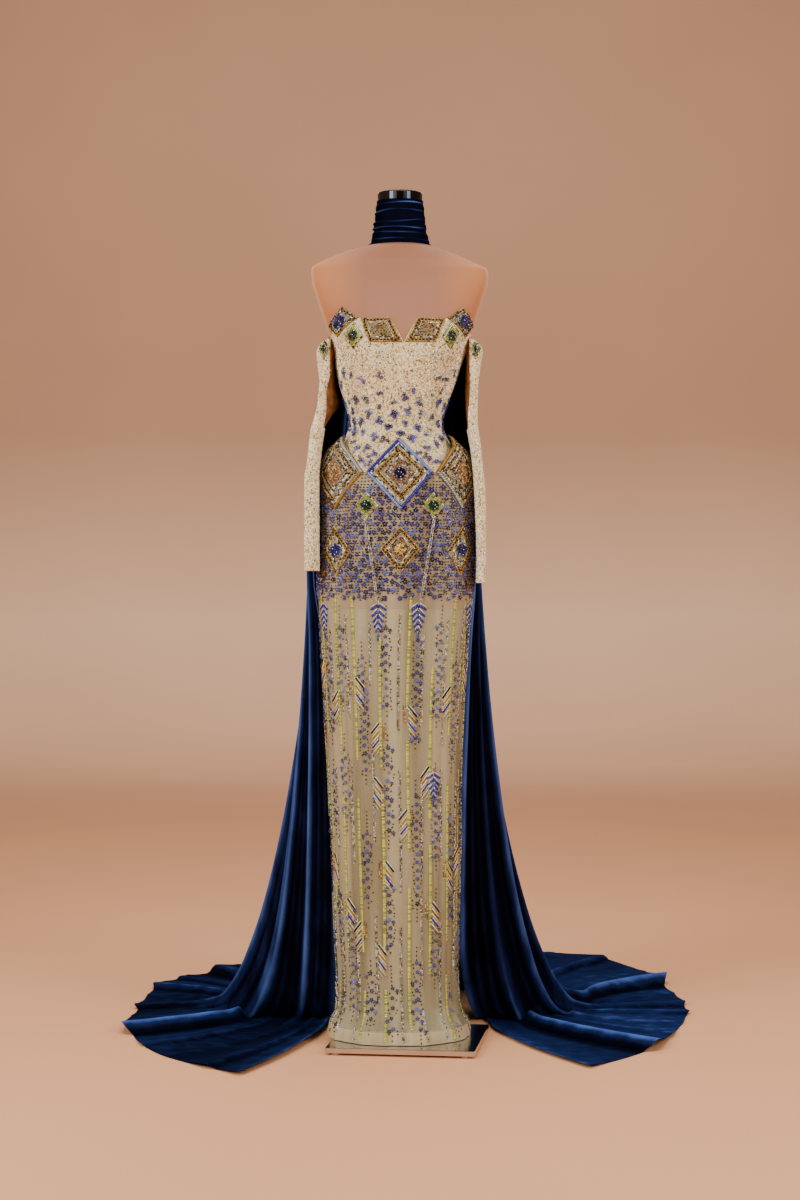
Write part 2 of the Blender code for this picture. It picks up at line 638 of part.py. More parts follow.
def cape_column(position):
    """Points down one fold line from collar to hem, each with its fold depth and how far it lies down."""
    hip = CAPE_HANG[-1]
    column = [(cape_hang_point(position, row.height), row.fold, 0.0) for row in CAPE_HANG]
    start = column[-1][0]
    gore = gore_at(position)
    touch = Vector((gore.touch_x, gore.touch_y, 0))
    hem = Vector((gore.hem_x, gore.hem_y, 0))
    last = len(GORES) - 1
    near = math.exp(-((min(position, last - position) / EDGE_IN_SPREAD) ** 2))
    for run, in_l, in_r in zip(CAPE_RUN, EDGE_IN_L, EDGE_IN_R):
        at = start.lerp(touch, run**CAPE_RUN_POWER)
        at.x += near * (in_l if position < last / 2 else -in_r)
        at.z = hip.height * (1 - run) ** CAPE_FALL_POWER
        fold = hip.fold + (CAPE_FLOOR_FOLD - hip.fold) * run
        column.append((at, fold, max(0.0, (run - 0.54) / 0.46)))
    for share in CAPE_FLOOR:
        at = touch.lerp(hem, share)
        at.x = touch.x + (hem.x - touch.x) * share**CAPE_FLOOR_POWER
        column.append((at, CAPE_FLOOR_FOLD * (1 - 0.8 * share), 1.0))
    return column


def make_cape(finishes, parent):
    """Two panels of velvet from the collar, down the back and out over the floor, folded along the gores."""
    count = CAPE_STEPS * (len(GORES) - 1)
    columns = [cape_column(c / CAPE_STEPS) for c in range(count + 1)]
    depth = len(columns[0])
    outer, inner = [], []
    for r in range(depth):
        outer.append([])
        inner.append([])
        for c in range(count + 1):
            at, fold, lying = columns[c][r]
            along = columns[min(c + 1, count)][r][0] - columns[max(c - 1, 0)][r][0]
            down = columns[c][min(r + 1, depth - 1)][0] - columns[c][max(r - 1, 0)][0]
            normal = along.cross(down).normalized()
            wave = math.cos(math.tau * c / CAPE_STEPS)
            wave = wave * (1 - lying) + max(0.0, wave) * lying
            height = fold * gore_at(c / CAPE_STEPS).depth * wave
            centre = at + normal * (height + lying * CLOTH / 2)
            top, under = centre + normal * CLOTH / 2, centre - normal * CLOTH / 2
            under.z = max(under.z, 0.0)
            top.z = max(top.z, under.z + CLOTH * abs(normal.z))
            outer[-1].append(top)
            inner[-1].append(under)
    middle = count // 2
    for side, part, edge in (("l", slice(0, middle + 1), -1), ("r", slice(middle, count + 1), 0)):
        grids = [[[point.copy() for point in row[part]] for row in grid] for grid in (outer, inner)]
        for grid in grids:
            for row in grid:
                row[edge].x += SEAM / 2 if side == "r" else -SEAM / 2
        wall(f"cape_{side}", *grids, finishes["velvet"], parent)


def main():
    for old in list(bpy.data.objects):
        bpy.data.objects.remove(old)
    finishes = {
        "form_skin": material("form_skin", (0.62, 0.40, 0.29), 0.75),
        "dark_metal": material("dark_metal", (0.06, 0.06, 0.07), 0.25, 1.0),
        "steel": material("steel", (0.62, 0.60, 0.59), 0.12, 1.0),
        "foot": material("foot", (0.75, 0.74, 0.72), 0.4),
        "cream_beads": material("cream_beads", (0.78, 0.66, 0.47), 0.4),
        "sheer_net": material("sheer_net", (0.62, 0.50, 0.38), 0.7),
        "nude_net": material("nude_net", (0.60, 0.50, 0.38), 0.8),
        "trim_gold": material("trim_gold", (0.50, 0.40, 0.18), 0.35),
        "trim_green": material("trim_green", (0.35, 0.45, 0.20), 0.35),
        "trim_navy": material("trim_navy", (0.12, 0.13, 0.35), 0.35),
        "velvet": material("velvet", (0.01, 0.03, 0.12), 0.6),
    }
    left, right = min(g.hem_x for g in GORES), max(g.hem_x for g in GORES)
    front, back = min(g.hem_y for g in GORES), max(g.hem_y for g in GORES)
    carrier = bpy.data.objects.new("gown_on_form", None)
    carrier.location = (-(left + right) / 2, -(front + back) / 2, 0)
    bpy.context.scene.collection.objects.link(carrier)
    make_form(finishes, carrier)
    make_gown(finishes, carrier)
    make_sleeves(finishes, carrier)
    make_trims(finishes, carrier)
    make_collar(finishes, carrier)
    make_cape(finishes, carrier)


main()
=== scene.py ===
# %% [markdown]
# # A beaded mermaid gown with a velvet cape, on a dress form
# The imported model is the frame: every size and place is taken from it, or from the same driving tables that
# its solids were made from. This notebook gives each piece its real surface: net, glass beads and velvet.

# %% Load the frame
import math
from collections import namedtuple

import bpy
import numpy as np
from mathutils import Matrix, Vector


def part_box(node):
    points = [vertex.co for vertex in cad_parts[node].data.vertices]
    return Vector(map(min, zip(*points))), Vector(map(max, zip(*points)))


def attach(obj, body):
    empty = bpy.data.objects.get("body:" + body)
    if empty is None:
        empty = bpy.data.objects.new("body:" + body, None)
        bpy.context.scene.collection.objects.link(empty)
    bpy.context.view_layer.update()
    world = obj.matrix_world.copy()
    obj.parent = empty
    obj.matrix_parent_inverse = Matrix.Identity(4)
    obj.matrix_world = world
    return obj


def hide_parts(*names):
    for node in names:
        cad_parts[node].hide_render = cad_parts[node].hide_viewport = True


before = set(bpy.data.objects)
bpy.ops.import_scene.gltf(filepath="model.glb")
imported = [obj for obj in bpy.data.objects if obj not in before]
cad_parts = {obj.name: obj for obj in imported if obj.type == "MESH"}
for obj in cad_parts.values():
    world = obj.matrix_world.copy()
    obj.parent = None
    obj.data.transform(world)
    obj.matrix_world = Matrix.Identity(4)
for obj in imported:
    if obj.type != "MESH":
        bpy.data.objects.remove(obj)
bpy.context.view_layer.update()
cap_low, cap_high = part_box("form_neck_cap")
AXIS = np.array([(cap_low.x + cap_high.x) / 2, (cap_low.y + cap_high.y) / 2 - 0.001, 0.0])
random = np.random.default_rng(20)
print("figure's axis stands at", AXIS.round(4), "and the frame has", len(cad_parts), "nodes")

# %% [markdown]
# ## The figure
# Gown and form share one figure: a table of oval sections from hem to neck. A smooth curve through the rows
# gives the section at any height, so a fine surface can be drawn wherever the solids have broad facets.
# Lofted curves or a sculpted mesh could do it too; a formula lets beads be placed at any turn and height.

# %% Sizes shared with the solids
# All lengths are metres, heights are above the floor, and turns are degrees round from the front.
CLOTH = 0.002
SEAM = 0.00035
EASE = 0.0006
GOWN_OUT = EASE + CLOTH
FRONT_TURN = 2.5
SIDE_SEAM = 92.0
HEM_Z = 0.0215
LINING_HEM_Z = 0.0300
HIP_SEAM_Z = 1.205
FORM_FOOT_Z = 0.919
CAP_FOOT_Z = 1.7810

# Each row is an oval: half its width, its depth before and behind the middle, and its middle's shift along x
Section = namedtuple("Section", "height half_width front back shift")
FIGURE = (
    Section(0.0200, 0.1485, 0.1445, 0.1400, -0.0021),
    Section(0.0444, 0.1431, 0.1390, 0.1350, -0.0020),
    Section(0.0657, 0.1315, 0.1260, 0.1230, -0.0030),
    Section(0.0869, 0.1261, 0.1160, 0.1140, -0.0032),
    Section(0.1295, 0.1250, 0.1095, 0.1085, -0.0042),
    Section(0.2146, 0.1277, 0.1080, 0.1080, -0.0058),
    Section(0.3848, 0.1330, 0.1080, 0.1090, -0.0079),
    Section(0.5550, 0.1379, 0.1090, 0.1110, -0.0107),
    Section(0.7252, 0.1458, 0.1110, 0.1150, -0.0122),
    Section(0.8529, 0.1538, 0.1130, 0.1190, -0.0117),
    Section(0.9380, 0.1605, 0.1140, 0.1220, -0.0100),
    Section(0.9900, 0.1633, 0.1130, 0.1250, -0.0085),
    Section(1.1082, 0.1644, 0.1090, 0.1290, -0.0074),
    Section(1.1600, 0.1632, 0.1070, 0.1260, -0.0069),
    Section(1.2000, 0.1570, 0.1030, 0.1180, -0.0066),
    Section(1.2360, 0.1370, 0.0970, 0.1050, -0.0070),
    Section(1.2784, 0.1060, 0.0890, 0.0880, -0.0085),
    Section(1.3120, 0.0938, 0.0860, 0.0830, -0.0095),
    Section(1.3350, 0.0980, 0.0890, 0.0830, -0.0090),
    Section(1.3635, 0.1070, 0.0950, 0.0850, -0.0075),
    Section(1.3848, 0.1155, 0.0995, 0.0880, -0.0070),
    Section(1.4274, 0.1272, 0.1070, 0.0940, -0.0043),
    Section(1.4699, 0.1378, 0.1110, 0.1000, 0.0000),
    Section(1.4920, 0.1490, 0.1100, 0.1030, 0.0000),
    Section(1.5125, 0.1570, 0.1050, 0.1050, 0.0000),
    Section(1.5337, 0.1650, 0.0970, 0.1070, 0.0000),
    Section(1.5750, 0.1790, 0.0800, 0.1050, 0.0000),
    Section(1.6200, 0.1895, 0.0640, 0.0980, 0.0000),
    Section(1.6400, 0.1880, 0.0590, 0.0940, -0.0015),
    Section(1.6487, 0.1770, 0.0570, 0.0910, -0.0060),
    Section(1.6600, 0.1540, 0.0550, 0.0860, -0.0080),
    Section(1.6740, 0.1200, 0.0545, 0.0760, -0.0080),
    Section(1.6830, 0.0930, 0.0545, 0.0680, -0.0060),
    Section(1.6905, 0.0660, 0.0535, 0.0630, -0.0010),
    Section(1.6980, 0.0580, 0.0520, 0.0590, 0.0000),
    Section(1.7300, 0.0510, 0.0490, 0.0540, 0.0000),
    Section(1.7850, 0.0455, 0.0450, 0.0470, 0.0000),
)
ROUNDNESS = 2.15
BUST_REACH = 0.018
BUST_AT = (0.070, 1.445)
BUST_SPREAD = (0.045, 0.050)
# The gown's top edge: (degrees from the middle of the front, height)
NECKLINE = (
    (0.0, 1.4745), (8.8, 1.5270), (34.0, 1.5270), (45.0, 1.5500),
    (66.0, 1.5060), (80.0, 1.4860), (100.0, 1.4700), (130.0, 1.4520), (180.0, 1.4450),
)

# %% [markdown]
# The curve between rows is a cubic that is level at turning points, so that a waist or a hip never bulges
# past its row. All of these functions take whole arrays, because a gown needs many thousands of points.

# %% Curves and the figure's skin
def cubic(keys, values, at):
    """The smooth curve through (keys, values), read at any places."""
    keys, values = np.asarray(keys, float), np.asarray(values, float)
    at = np.clip(at, keys[0], keys[-1])
    i = np.clip(np.searchsorted(keys, at, side="right") - 1, 0, len(keys) - 2)
    gaps = np.diff(keys)
    rises = np.diff(values) / gaps
    before, after = rises[:-1], rises[1:]
    same_way = before * after > 0
    inner = np.where(same_way, 2 * before * after / np.where(same_way, before + after, 1.0), 0.0)
    slopes = np.concatenate([rises[:1], inner, rises[-1:]])
    t = (at - keys[i]) / gaps[i]
    return (
        values[i] * (1 + 2 * t) * (1 - t) ** 2
        + slopes[i] * gaps[i] * t * (1 - t) ** 2
        + values[i + 1] * t * t * (3 - 2 * t)
        + slopes[i + 1] * gaps[i] * t * t * (t - 1)
    )


def row_at(table, height):
    """The table's columns at any heights, as one row of arrays."""
    rows = sorted(table, key=lambda row: row.height)
    keys = [row.height for row in rows]
    return type(rows[0])(*(cubic(keys, column, height) for column in zip(*rows)))


def signed_power(value, power):
    return np.sign(value) * np.abs(value) ** power


def stack(x, y, z):
    return np.stack(np.broadcast_arrays(x, y, z), axis=-1)


def figure_point(turn, height, out=0.0):
    """Points `turn` degrees round from the front, `out` metres outside the figure's skin."""
    turn, height, out = np.broadcast_arrays(*(np.asarray(v, float) for v in (turn, height, out)))
    row = row_at(FIGURE, height)
    angle = np.radians(turn)
    ahead = np.cos(angle) > 0
    depth = np.where(ahead, row.front, row.back)
    x = (row.half_width + out) * signed_power(np.sin(angle), 2 / ROUNDNESS)
    y = -(depth + out) * signed_power(np.cos(angle), 2 / ROUNDNESS)
    across = (np.abs(x) - BUST_AT[0]) / BUST_SPREAD[0]
    up = (height - BUST_AT[1]) / BUST_SPREAD[1]
    bust = BUST_REACH * np.exp(-across * across - up * up)
    y = y - np.where(ahead, bust * np.cos(angle), 0.0)
    return stack(x + row.shift, y, height) + AXIS


def unit(vectors):
    return vectors / np.maximum(np.linalg.norm(vectors, axis=-1, keepdims=True), 1e-12)


def eased(share):
    """A share from 0 to 1 that starts and ends gently."""
    share = np.clip(share, 0, 1)
    return share * share * (3 - 2 * share)


def hump(value, width):
    """1 where the value is 0, falling smoothly away on both sides."""
    return np.exp(-((value / width) ** 2))


def gown_frame(turn, height, out=GOWN_OUT, surface=figure_point):
    """Places on a surface, with the directions round it and out of it there, from its slope nearby."""
    step, rise = 0.25, 0.001
    turn, height = np.asarray(turn), np.asarray(height)
    around = unit(surface(turn + step, height, out) - surface(turn - step, height, out))
    up = unit(surface(turn, height + rise, out) - surface(turn, height - rise, out))
    return surface(turn, height, out), around, unit(np.cross(around, up))


def neckline(turn):
    away = np.abs((np.asarray(turn) - FRONT_TURN + 180) % 360 - 180)
    return np.interp(away, *zip(*NECKLINE))


hip_row = figure_point(np.arange(0, 360, 5), 1.1)
print("hip at 1.10 m is", round(float(np.ptp(hip_row[:, 0])) * 1000), "mm across")

# %% [markdown]
# ## Finishes as Python expressions
# A wrapped socket can be added, multiplied or compared like a number, and each step becomes one Math node.
# Colours go through Mix nodes instead, because a Math node would turn them grey.

# %% A small language for nodes
class Value:
    """A node's output that takes part in sums; every operator adds one Math node."""

    def __init__(self, socket):
        self.socket = socket

    def math(self, operation, first, second):
        tree = self.socket.id_data
        node = tree.nodes.new("ShaderNodeMath")
        node.operation = operation
        for slot, value in zip(node.inputs, (first, second)):
            feed(tree, slot, value)
        return Value(node.outputs[0])

    def __add__(self, other):
        return self.math("ADD", self, other)

    def __radd__(self, other):
        return self.math("ADD", other, self)

    def __sub__(self, other):
        return self.math("SUBTRACT", self, other)

    def __rsub__(self, other):
        return self.math("SUBTRACT", other, self)

    def __mul__(self, other):
        return self.math("MULTIPLY", self, other)

    def __lt__(self, other):
        return self.math("LESS_THAN", self, other)


def feed(tree, socket, value):
    """Sets a socket from a number or colour, or links it to another node's output."""
    value = value.socket if isinstance(value, Value) else value
    if isinstance(value, bpy.types.NodeSocket):
        tree.links.new(value, socket)
    elif value is not None:
        socket.default_value = value


def add_node(tree, kind, settings=None, inputs=None, stops=None):
    """Any node: its settings first, then a ramp's stops, then the values and links of its sockets."""
    node = tree.nodes.new(kind)
    for name, value in (settings or {}).items():
        setattr(node, name, value)
    if stops:
        ramp = node.color_ramp
        while len(ramp.elements) < len(stops):
            ramp.elements.new(0.5)
        for element, (place, colour) in zip(ramp.elements, stops):
            element.position = place
            element.color = colour
    for name, value in (inputs or {}).items():
        feed(tree, node.inputs[name], value)
    return node


def tone(red, green, blue, alpha=1.0):
    """A screen colour of 0 to 255 as the linear light that shaders use."""
    values = np.array([red, green, blue]) / 255
    linear = np.where(values <= 0.04045, values / 12.92, ((values + 0.055) / 1.055) ** 2.4)
    return (*(float(v) for v in linear), alpha)


class Finish:
    """A material in the making, on the piece's own coordinates."""

    def __init__(self, name, **constants):
        self.material = bpy.data.materials.new(name)
        self.material.use_nodes = True
        self.tree = self.material.node_tree
        self.shader = self.tree.nodes["Principled BSDF"]
        self.set(**constants)
        self.place = self.add("ShaderNodeTexCoord").outputs["Object"]

    def add(self, kind, settings=None, inputs=None, stops=None):
        return add_node(self.tree, kind, settings, inputs, stops)

    def set(self, **inputs):
        """Shader inputs by name, with _ for a space."""
        for name, value in inputs.items():
            feed(self.tree, self.shader.inputs[name.replace("_", " ")], value)
        return self

    def mapped(self, scale):
        """The piece's coordinates stretched, for streaks."""
        return self.add("ShaderNodeMapping", {}, {"Vector": self.place, "Scale": scale}).outputs[0]

    def noise(self, scale, detail=2.0, place=None):
        inputs = {"Vector": place or self.place, "Scale": scale, "Detail": detail}
        return Value(self.add("ShaderNodeTexNoise", {}, inputs).outputs["Fac"])

    def cells(self, size):
        """Round cells of `size` metres: (distance from the middle, a random number for each cell)."""
        node = self.add("ShaderNodeTexVoronoi", {}, {"Vector": self.place, "Scale": 1 / size})
        colour = self.add("ShaderNodeSeparateColor", {}, {"Color": node.outputs["Color"]})
        return Value(node.outputs["Distance"]), Value(colour.outputs[0])

    def ramp(self, factor, *stops):
        """A colour that runs through (position, colour) stops."""
        return self.add("ShaderNodeValToRGB", {}, {"Fac": factor}, stops).outputs["Color"]

    def mix(self, factor, first, second, kind="MIX"):
        node = self.add("ShaderNodeMix", {"data_type": "RGBA", "blend_type": kind})
        for i, value in ((0, factor), (6, first), (7, second)):
            feed(self.tree, node.inputs[i], value)
        return node.outputs[2]

    def mark(self, name, part="Fac"):
        """A number or colour that the piece's own points carry."""
        return Value(self.add("ShaderNodeAttribute", {"attribute_name": name}).outputs[part])

    def height(self):
        return Value(self.add("ShaderNodeSeparateXYZ", {}, {"Vector": self.place}).outputs["Z"])

    def bump(self, height, distance, strength=1.0):
        inputs = {"Height": height, "Distance": distance, "Strength": strength}
        return self.set(Normal=self.add("ShaderNodeBump", {}, inputs).outputs[0])


# %% [markdown]
# ## Cloth, glass, skin and metal
# The bodice is covered with round glass beads about 3 mm across. They are modelled further on, and the fabric
# under them has cells of that size with a dome and a colour each, so that the gaps between beads look beaded
# too; each cell is painted darker towards its edge, as shade between the beads. Velvet is dark, with painted
# light on the crests of its folds and painted shade in its troughs. The net is see-through, so that the
# form's skin and the gathered lining show under it, and its folds are painted as upright light and dark
# streaks.

# %% Finishes of cloth
BEAD_CELL = 0.0031
SEQUIN_CELL = 0.0026
TURNED_HEM = 0.021


def bead_ground():
    """The fabric under the close beading: cream, and brown as painted shade on the sleeve beside the body."""
    made = Finish("cream_beads", Roughness=0.5, Specular_IOR_Level=0.4)
    middle, pick = made.cells(BEAD_CELL)
    beads = made.ramp(
        pick, (0.0, tone(252, 240, 200)), (0.6, tone(238, 218, 166)), (1.0, tone(186, 166, 118)),
    )
    # Painted shade: each bead cell is darkened towards its edge, as shade between the beads.
    gaps = made.ramp(middle, (0.30, tone(255, 255, 255)), (0.62, tone(204, 190, 158)))
    # Painted shade: a brown for the strip of sleeve next to the body, where it lies in shadow.
    painted_shade_brown = made.ramp(made.noise(60.0), (0.35, tone(104, 60, 24)), (0.7, tone(160, 104, 50)))
    made.set(Base_Color=made.mix(made.mark("bare"), made.mix(1.0, beads, gaps, "MULTIPLY"), painted_shade_brown))
    made.bump(1.0 - middle * middle * 1.6, 0.0008, 0.8)
    return made


def net(name, colour, pale, opacity):
    """Soft net with a fine mesh and painted shade in upright streaks for its folds; the turned hem is paler
    and closer.
    """
    made = Finish(name, Roughness=0.75, Sheen_Weight=0.2, Sheen_Roughness=0.5, Specular_IOR_Level=0.2)
    streaks = made.mapped((1.0, 1.0, 0.05))
    folds = made.noise(34.0, 3.0, streaks) * 0.5 + made.noise(13.0, 2.0, streaks) * 0.5
    hem = made.height() < HEM_Z + TURNED_HEM
    # Painted shade: the fold noise paints upright streaks from the darker `colour` to the lighter `pale`.
    shade = made.ramp(folds, (0.42, colour), (0.58, pale))
    made.set(Base_Color=made.mix(hem * 0.55, shade, tone(214, 192, 150)))
    made.set(Alpha=opacity + (folds - 0.5) * 0.5 + hem * 0.3)
    made.bump(made.noise(900.0, 1.0), 0.0003, 0.4)
    return made


def velvet():
    """Navy silk velvet, painted with light and shade: black in its troughs and light blue on its crests."""
    made = Finish("velvet", Specular_IOR_Level=0.0, Sheen_Weight=0.10, Sheen_Roughness=0.3, Metallic=0.20)
    made.set(Sheen_Tint=tone(70, 110, 206), Specular_Tint=tone(30, 50, 110))
    brushed = made.noise(26.0, 4.0, made.mapped((1.0, 1.0, 0.3)))
    # Painted light and shade from the points' mark: high on crests and ridge tops, low in troughs; brushed
    # pile varies it.
    painted_light_and_pile = made.mark("crest") + (brushed - 0.5) * 0.55
    made.set(Base_Color=made.ramp(
        painted_light_and_pile,
        (0.0, tone(3, 3, 7)), (0.30, tone(9, 11, 27)), (0.62, tone(27, 38, 80)), (1.0, tone(76, 106, 178)),
    ))
    made.set(Roughness=0.42 + brushed * 0.14)
    made.bump(made.noise(1300.0, 1.0) + brushed * 1.5, 0.0006, 0.35)
    return made


def form_skin():
    """The form's matt stretch cover, with painted light that makes its sides lighter and more orange, and
    pale edge tape round each arm cut.
    """
    made = Finish("form_skin", Roughness=0.72, Specular_IOR_Level=0.25, Sheen_Weight=0.15)
    made.set(Sheen_Roughness=0.45)
    skin = made.ramp(made.noise(3.0, 3.0), (0.35, tone(142, 96, 74)), (0.65, tone(152, 106, 80)))
    painted_side_light = made.mix(made.mark("side"), skin, tone(208, 134, 74))
    made.set(Base_Color=made.mix(made.mark("arm_rim"), painted_side_light, tone(206, 160, 132)))
    made.bump(made.noise(1500.0, 1.0), 0.0002, 0.25)
    return made


finishes = {
    "cream_beads": bead_ground(),
    "sheer_net": net("sheer_net", tone(160, 149, 114), tone(198, 188, 152), 0.34),
    "nude_net": net("nude_net", tone(138, 128, 96), tone(182, 174, 138), 1.2),
    "velvet": velvet(),
    "form_skin": form_skin(),
}
print("finishes of cloth:", sorted(finishes))

# %% [markdown]
# Loose beads carry their own tint as a point colour, so one glass serves them all. The inside of the sleeves
# is painted brown, as the shade inside the tube. The plates under the diamonds are a close backing of tiny
# sequins. Metals have faint lines and smears, and the cap's flat top is brushed, so that it doesn't mirror a
# lamp.

# %% Finishes of glass, satin and metal
ABOVE_ALL = 9.0
TOP_BAND = 0.002


def glass():
    """Glass and metal-lined beads; each takes its tint and how metallic it is from its own points."""
    made = Finish("bead_glass", Roughness=0.15, Specular_IOR_Level=0.5, Coat_Roughness=0.06)
    made.set(Base_Color=made.mix(made.mark("heart") * 0.45, made.mark("tint", "Color"), tone(160, 172, 222)))
    made.set(Metallic=made.mark("lined"), Coat_Weight=0.15)
    return made


def painted_inside_shade():
    # Painted shade: the inside of the sleeve is coloured brown, as it lies in shadow.
    made = Finish("sleeve_satin", Roughness=0.5, Specular_IOR_Level=0.35)
    made.set(Base_Color=made.ramp(made.noise(40.0), (0.35, tone(112, 68, 28)), (0.7, tone(164, 108, 54))))
    made.bump(made.noise(900.0, 1.0, made.mapped((1.0, 1.0, 0.2))), 0.0002, 0.3)
    return made


def backing(name, centre):
    """The stiff ground of a beaded diamond: dark olive brown under the rows, its own colour in the middle."""
    made = Finish(name, Roughness=0.55, Specular_IOR_Level=0.3)
    middle, pick = made.cells(SEQUIN_CELL)
    edge = made.ramp(pick, (0.2, tone(60, 48, 28)), (0.8, tone(128, 108, 70)))
    shade = made.ramp(pick, (0.2, tone(190, 180, 160)), (0.8, tone(255, 255, 255)))
    made.set(Base_Color=made.mix(made.mark("inner"), edge, made.mix(1.0, centre, shade, "MULTIPLY")))
    made.bump(1.0 - middle, 0.0006, 0.6)
    return made


def metal(name, dark, light, rough, lengthwise, brushed_above=ABOVE_ALL):
    """Polished metal with the faint lines that polishing leaves, brushed and duller above a height."""
    made = Finish(name, Metallic=1.0, Specular_IOR_Level=0.5)
    lines = made.noise(60.0, 3.0, made.mapped(lengthwise))
    smears = made.noise(9.0, 2.0)
    made.set(Base_Color=made.ramp(smears, (0.35, dark), (0.7, light)))
    over = (made.height() - brushed_above) * 500.0
    brushed = made.ramp(over, (0.0, tone(0, 0, 0)), (1.0, tone(255, 255, 255)))
    made.set(Roughness=Value(brushed) * 0.36 + smears * 0.07 + lines * 0.03 + rough)
    made.bump(lines, 0.00005, 0.15)
    return made


def foot_plastic():
    made = Finish("foot", Roughness=0.4, Specular_IOR_Level=0.4)
    made.set(Base_Color=made.ramp(made.noise(120.0), (0.3, tone(216, 214, 208)), (0.7, tone(236, 234, 228))))
    made.bump(made.noise(700.0), 0.0001, 0.3)
    return made


finishes |= {
    "glass": glass(),
    "sleeve_satin": painted_inside_shade(),
    "trim_gold": backing("trim_gold", tone(150, 122, 92)),
    "trim_green": backing("trim_green", tone(138, 150, 84)),
    "trim_navy": backing("trim_navy", tone(150, 140, 116)),
    "dark_metal": metal(
        "dark_metal", tone(40, 42, 46), tone(62, 64, 70), 0.14, (1.0, 1.0, 30.0), cap_high.z - TOP_BAND,
    ),
    "steel": metal("steel", tone(196, 192, 188), tone(214, 210, 206), 0.10, (1.0, 12.0, 1.0)),
    "foot": foot_plastic(),
}
print("finishes in all:", len(finishes))

# %% [markdown]
# ## A closed shell from a grid of points
# Every cloth here is a grid, rows by columns. The outer face is the grid, the inner face lies behind it along
# the surface's own normal, and rims close the edges. Solidify could do it, but it would not keep the points'
# marks for the seams and rims, which the finishes read.

# %% Meshes from grids
SHARP_ANGLE = 55.0
WIDEST_ROWS = 88
FAN_FROM = 0.3


def linked(name, data):
    """A new object in the scene, with this mesh, lamp or camera."""
    made = bpy.data.objects.new(name, data)
    bpy.context.scene.collection.objects.link(made)
    return made


def make_object(name, points, faces, materials, marks):
    """A smooth mesh; `marks` are numbers on its points, by name, for the finishes to read."""
    mesh = bpy.data.meshes.new(name)
    mesh.from_pydata(np.asarray(points, float).tolist(), [], [list(map(int, face)) for face in faces])
    for finish in materials:
        mesh.materials.append(finish.material)
    for key, values in marks.items():
        mark = mesh.attributes.new(key, "FLOAT", "POINT")
        mark.data.foreach_set("value", np.asarray(values, np.float32).ravel())
    mesh.shade_smooth()
    mesh.set_sharp_from_angle(angle=math.radians(SHARP_ANGLE))
    return linked(name, mesh)


def quads(index, wrap):
    """The faces between the rows and columns of a grid of point numbers."""
    right = np.roll(index, -1, 1) if wrap else index[:, 1:]
    left = index if wrap else index[:, :-1]
    return np.stack([left[:-1], right[:-1], right[1:], left[1:]], -1).reshape(-1, 4)


def grid_normals(grid, wrap):
    across = np.roll(grid, -1, 1) - np.roll(grid, 1, 1) if wrap else np.gradient(grid, axis=1)
    return unit(np.cross(across, np.gradient(grid, axis=0)))


def shell(name, grid, thickness, materials, wrap=False, **marks):
    """Thin closed cloth; `grid` is its outer face, and a second material is for the inner one."""
    inner = grid - grid_normals(grid, wrap) * thickness
    far = grid.shape[0] * grid.shape[1]
    index = np.arange(far).reshape(grid.shape[:2])
    outer_faces = quads(index, wrap)
    ahead = np.roll(index, -1, 1) if wrap else index[:, 1:]
    along = index if wrap else index[:, :-1]
    edges = [(along[0], ahead[0]), (ahead[-1], along[-1])]
    if not wrap:
        edges += [(index[1:, 0], index[:-1, 0]), (index[:-1, -1], index[1:, -1])]
    rims = [np.stack([b, a, a + far, b + far], -1) for a, b in edges]
    faces = np.concatenate([outer_faces, outer_faces[:, ::-1] + far, *rims])
    points = np.concatenate([grid.reshape(-1, 3), inner.reshape(-1, 3)])
    doubled = {key: np.tile(np.ravel(values), 2) for key, values in marks.items()}
    made = make_object(name, points, faces, materials, doubled)
    if len(materials) > 1:
        numbers = np.zeros(len(faces), np.int32)
        numbers[len(outer_faces):2 * len(outer_faces)] = 1
        made.data.polygons.foreach_set("material_index", numbers)
    return made


def cut_of(grid, wrap=False):
    """(width, length, area) of the flat cloth that this grid was before it was draped, measured along it.
    A cut that widens is laid out as a fan, whose width is its chord. Its very widest rows are left out,
    because the jags of a lifted hem don't widen the cut."""
    closed = np.concatenate([grid, grid[:, :1]], 1) if wrap else grid
    widths = np.linalg.norm(np.diff(closed, axis=1), axis=-1).sum(1)
    lengths = np.linalg.norm(np.diff(closed, axis=0), axis=-1).sum(0)
    width, length = np.percentile(widths, WIDEST_ROWS), lengths.max()
    spread = (width - widths.min()) / lengths.mean()
    if spread > FAN_FROM:
        width = 2 * (width / spread) * math.sin(min(spread, math.pi) / 2)
    a, b, c, d = closed[:-1, :-1], closed[:-1, 1:], closed[1:, 1:], closed[1:, :-1]
    area = sum(np.linalg.norm(np.cross(b - corner, d - corner), axis=-1).sum() / 2 for corner in (a, c))
    return float(width), float(length), float(min(area, width * length))


def cloth(node, grid, thick, slot, held, holder, wrap=False, inside=(), **marks):
    """A cloth piece in the place of a node: its shell, its body, its slot and the flat cloth of its cut."""
    piece = shell(f"{node}_cloth", grid, thick, [finishes[name] for name in (slot, *inside)], wrap, **marks)
    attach(piece, "root")
    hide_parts(node)
    width, length, area = cut_of(grid, wrap)
    print(f"{piece.name}: cut {width * 1000:.0f} x {length * 1000:.0f} mm, {area:.3f} square metres")


# %% [markdown]
# ## The dress form
# It is a padded torso under a stretch cover, with flat oval arm cuts edged in pale tape. The cut is made by
# holding the points of the figure inside a flat plane at each shoulder, and the tape is a mark on the points
# nearest to the plane's edge.

# %% The torso
ARM_CUT_Z = (1.470, 1.655)
ARM_CUT_IN = 0.0032
TAPE = 0.004


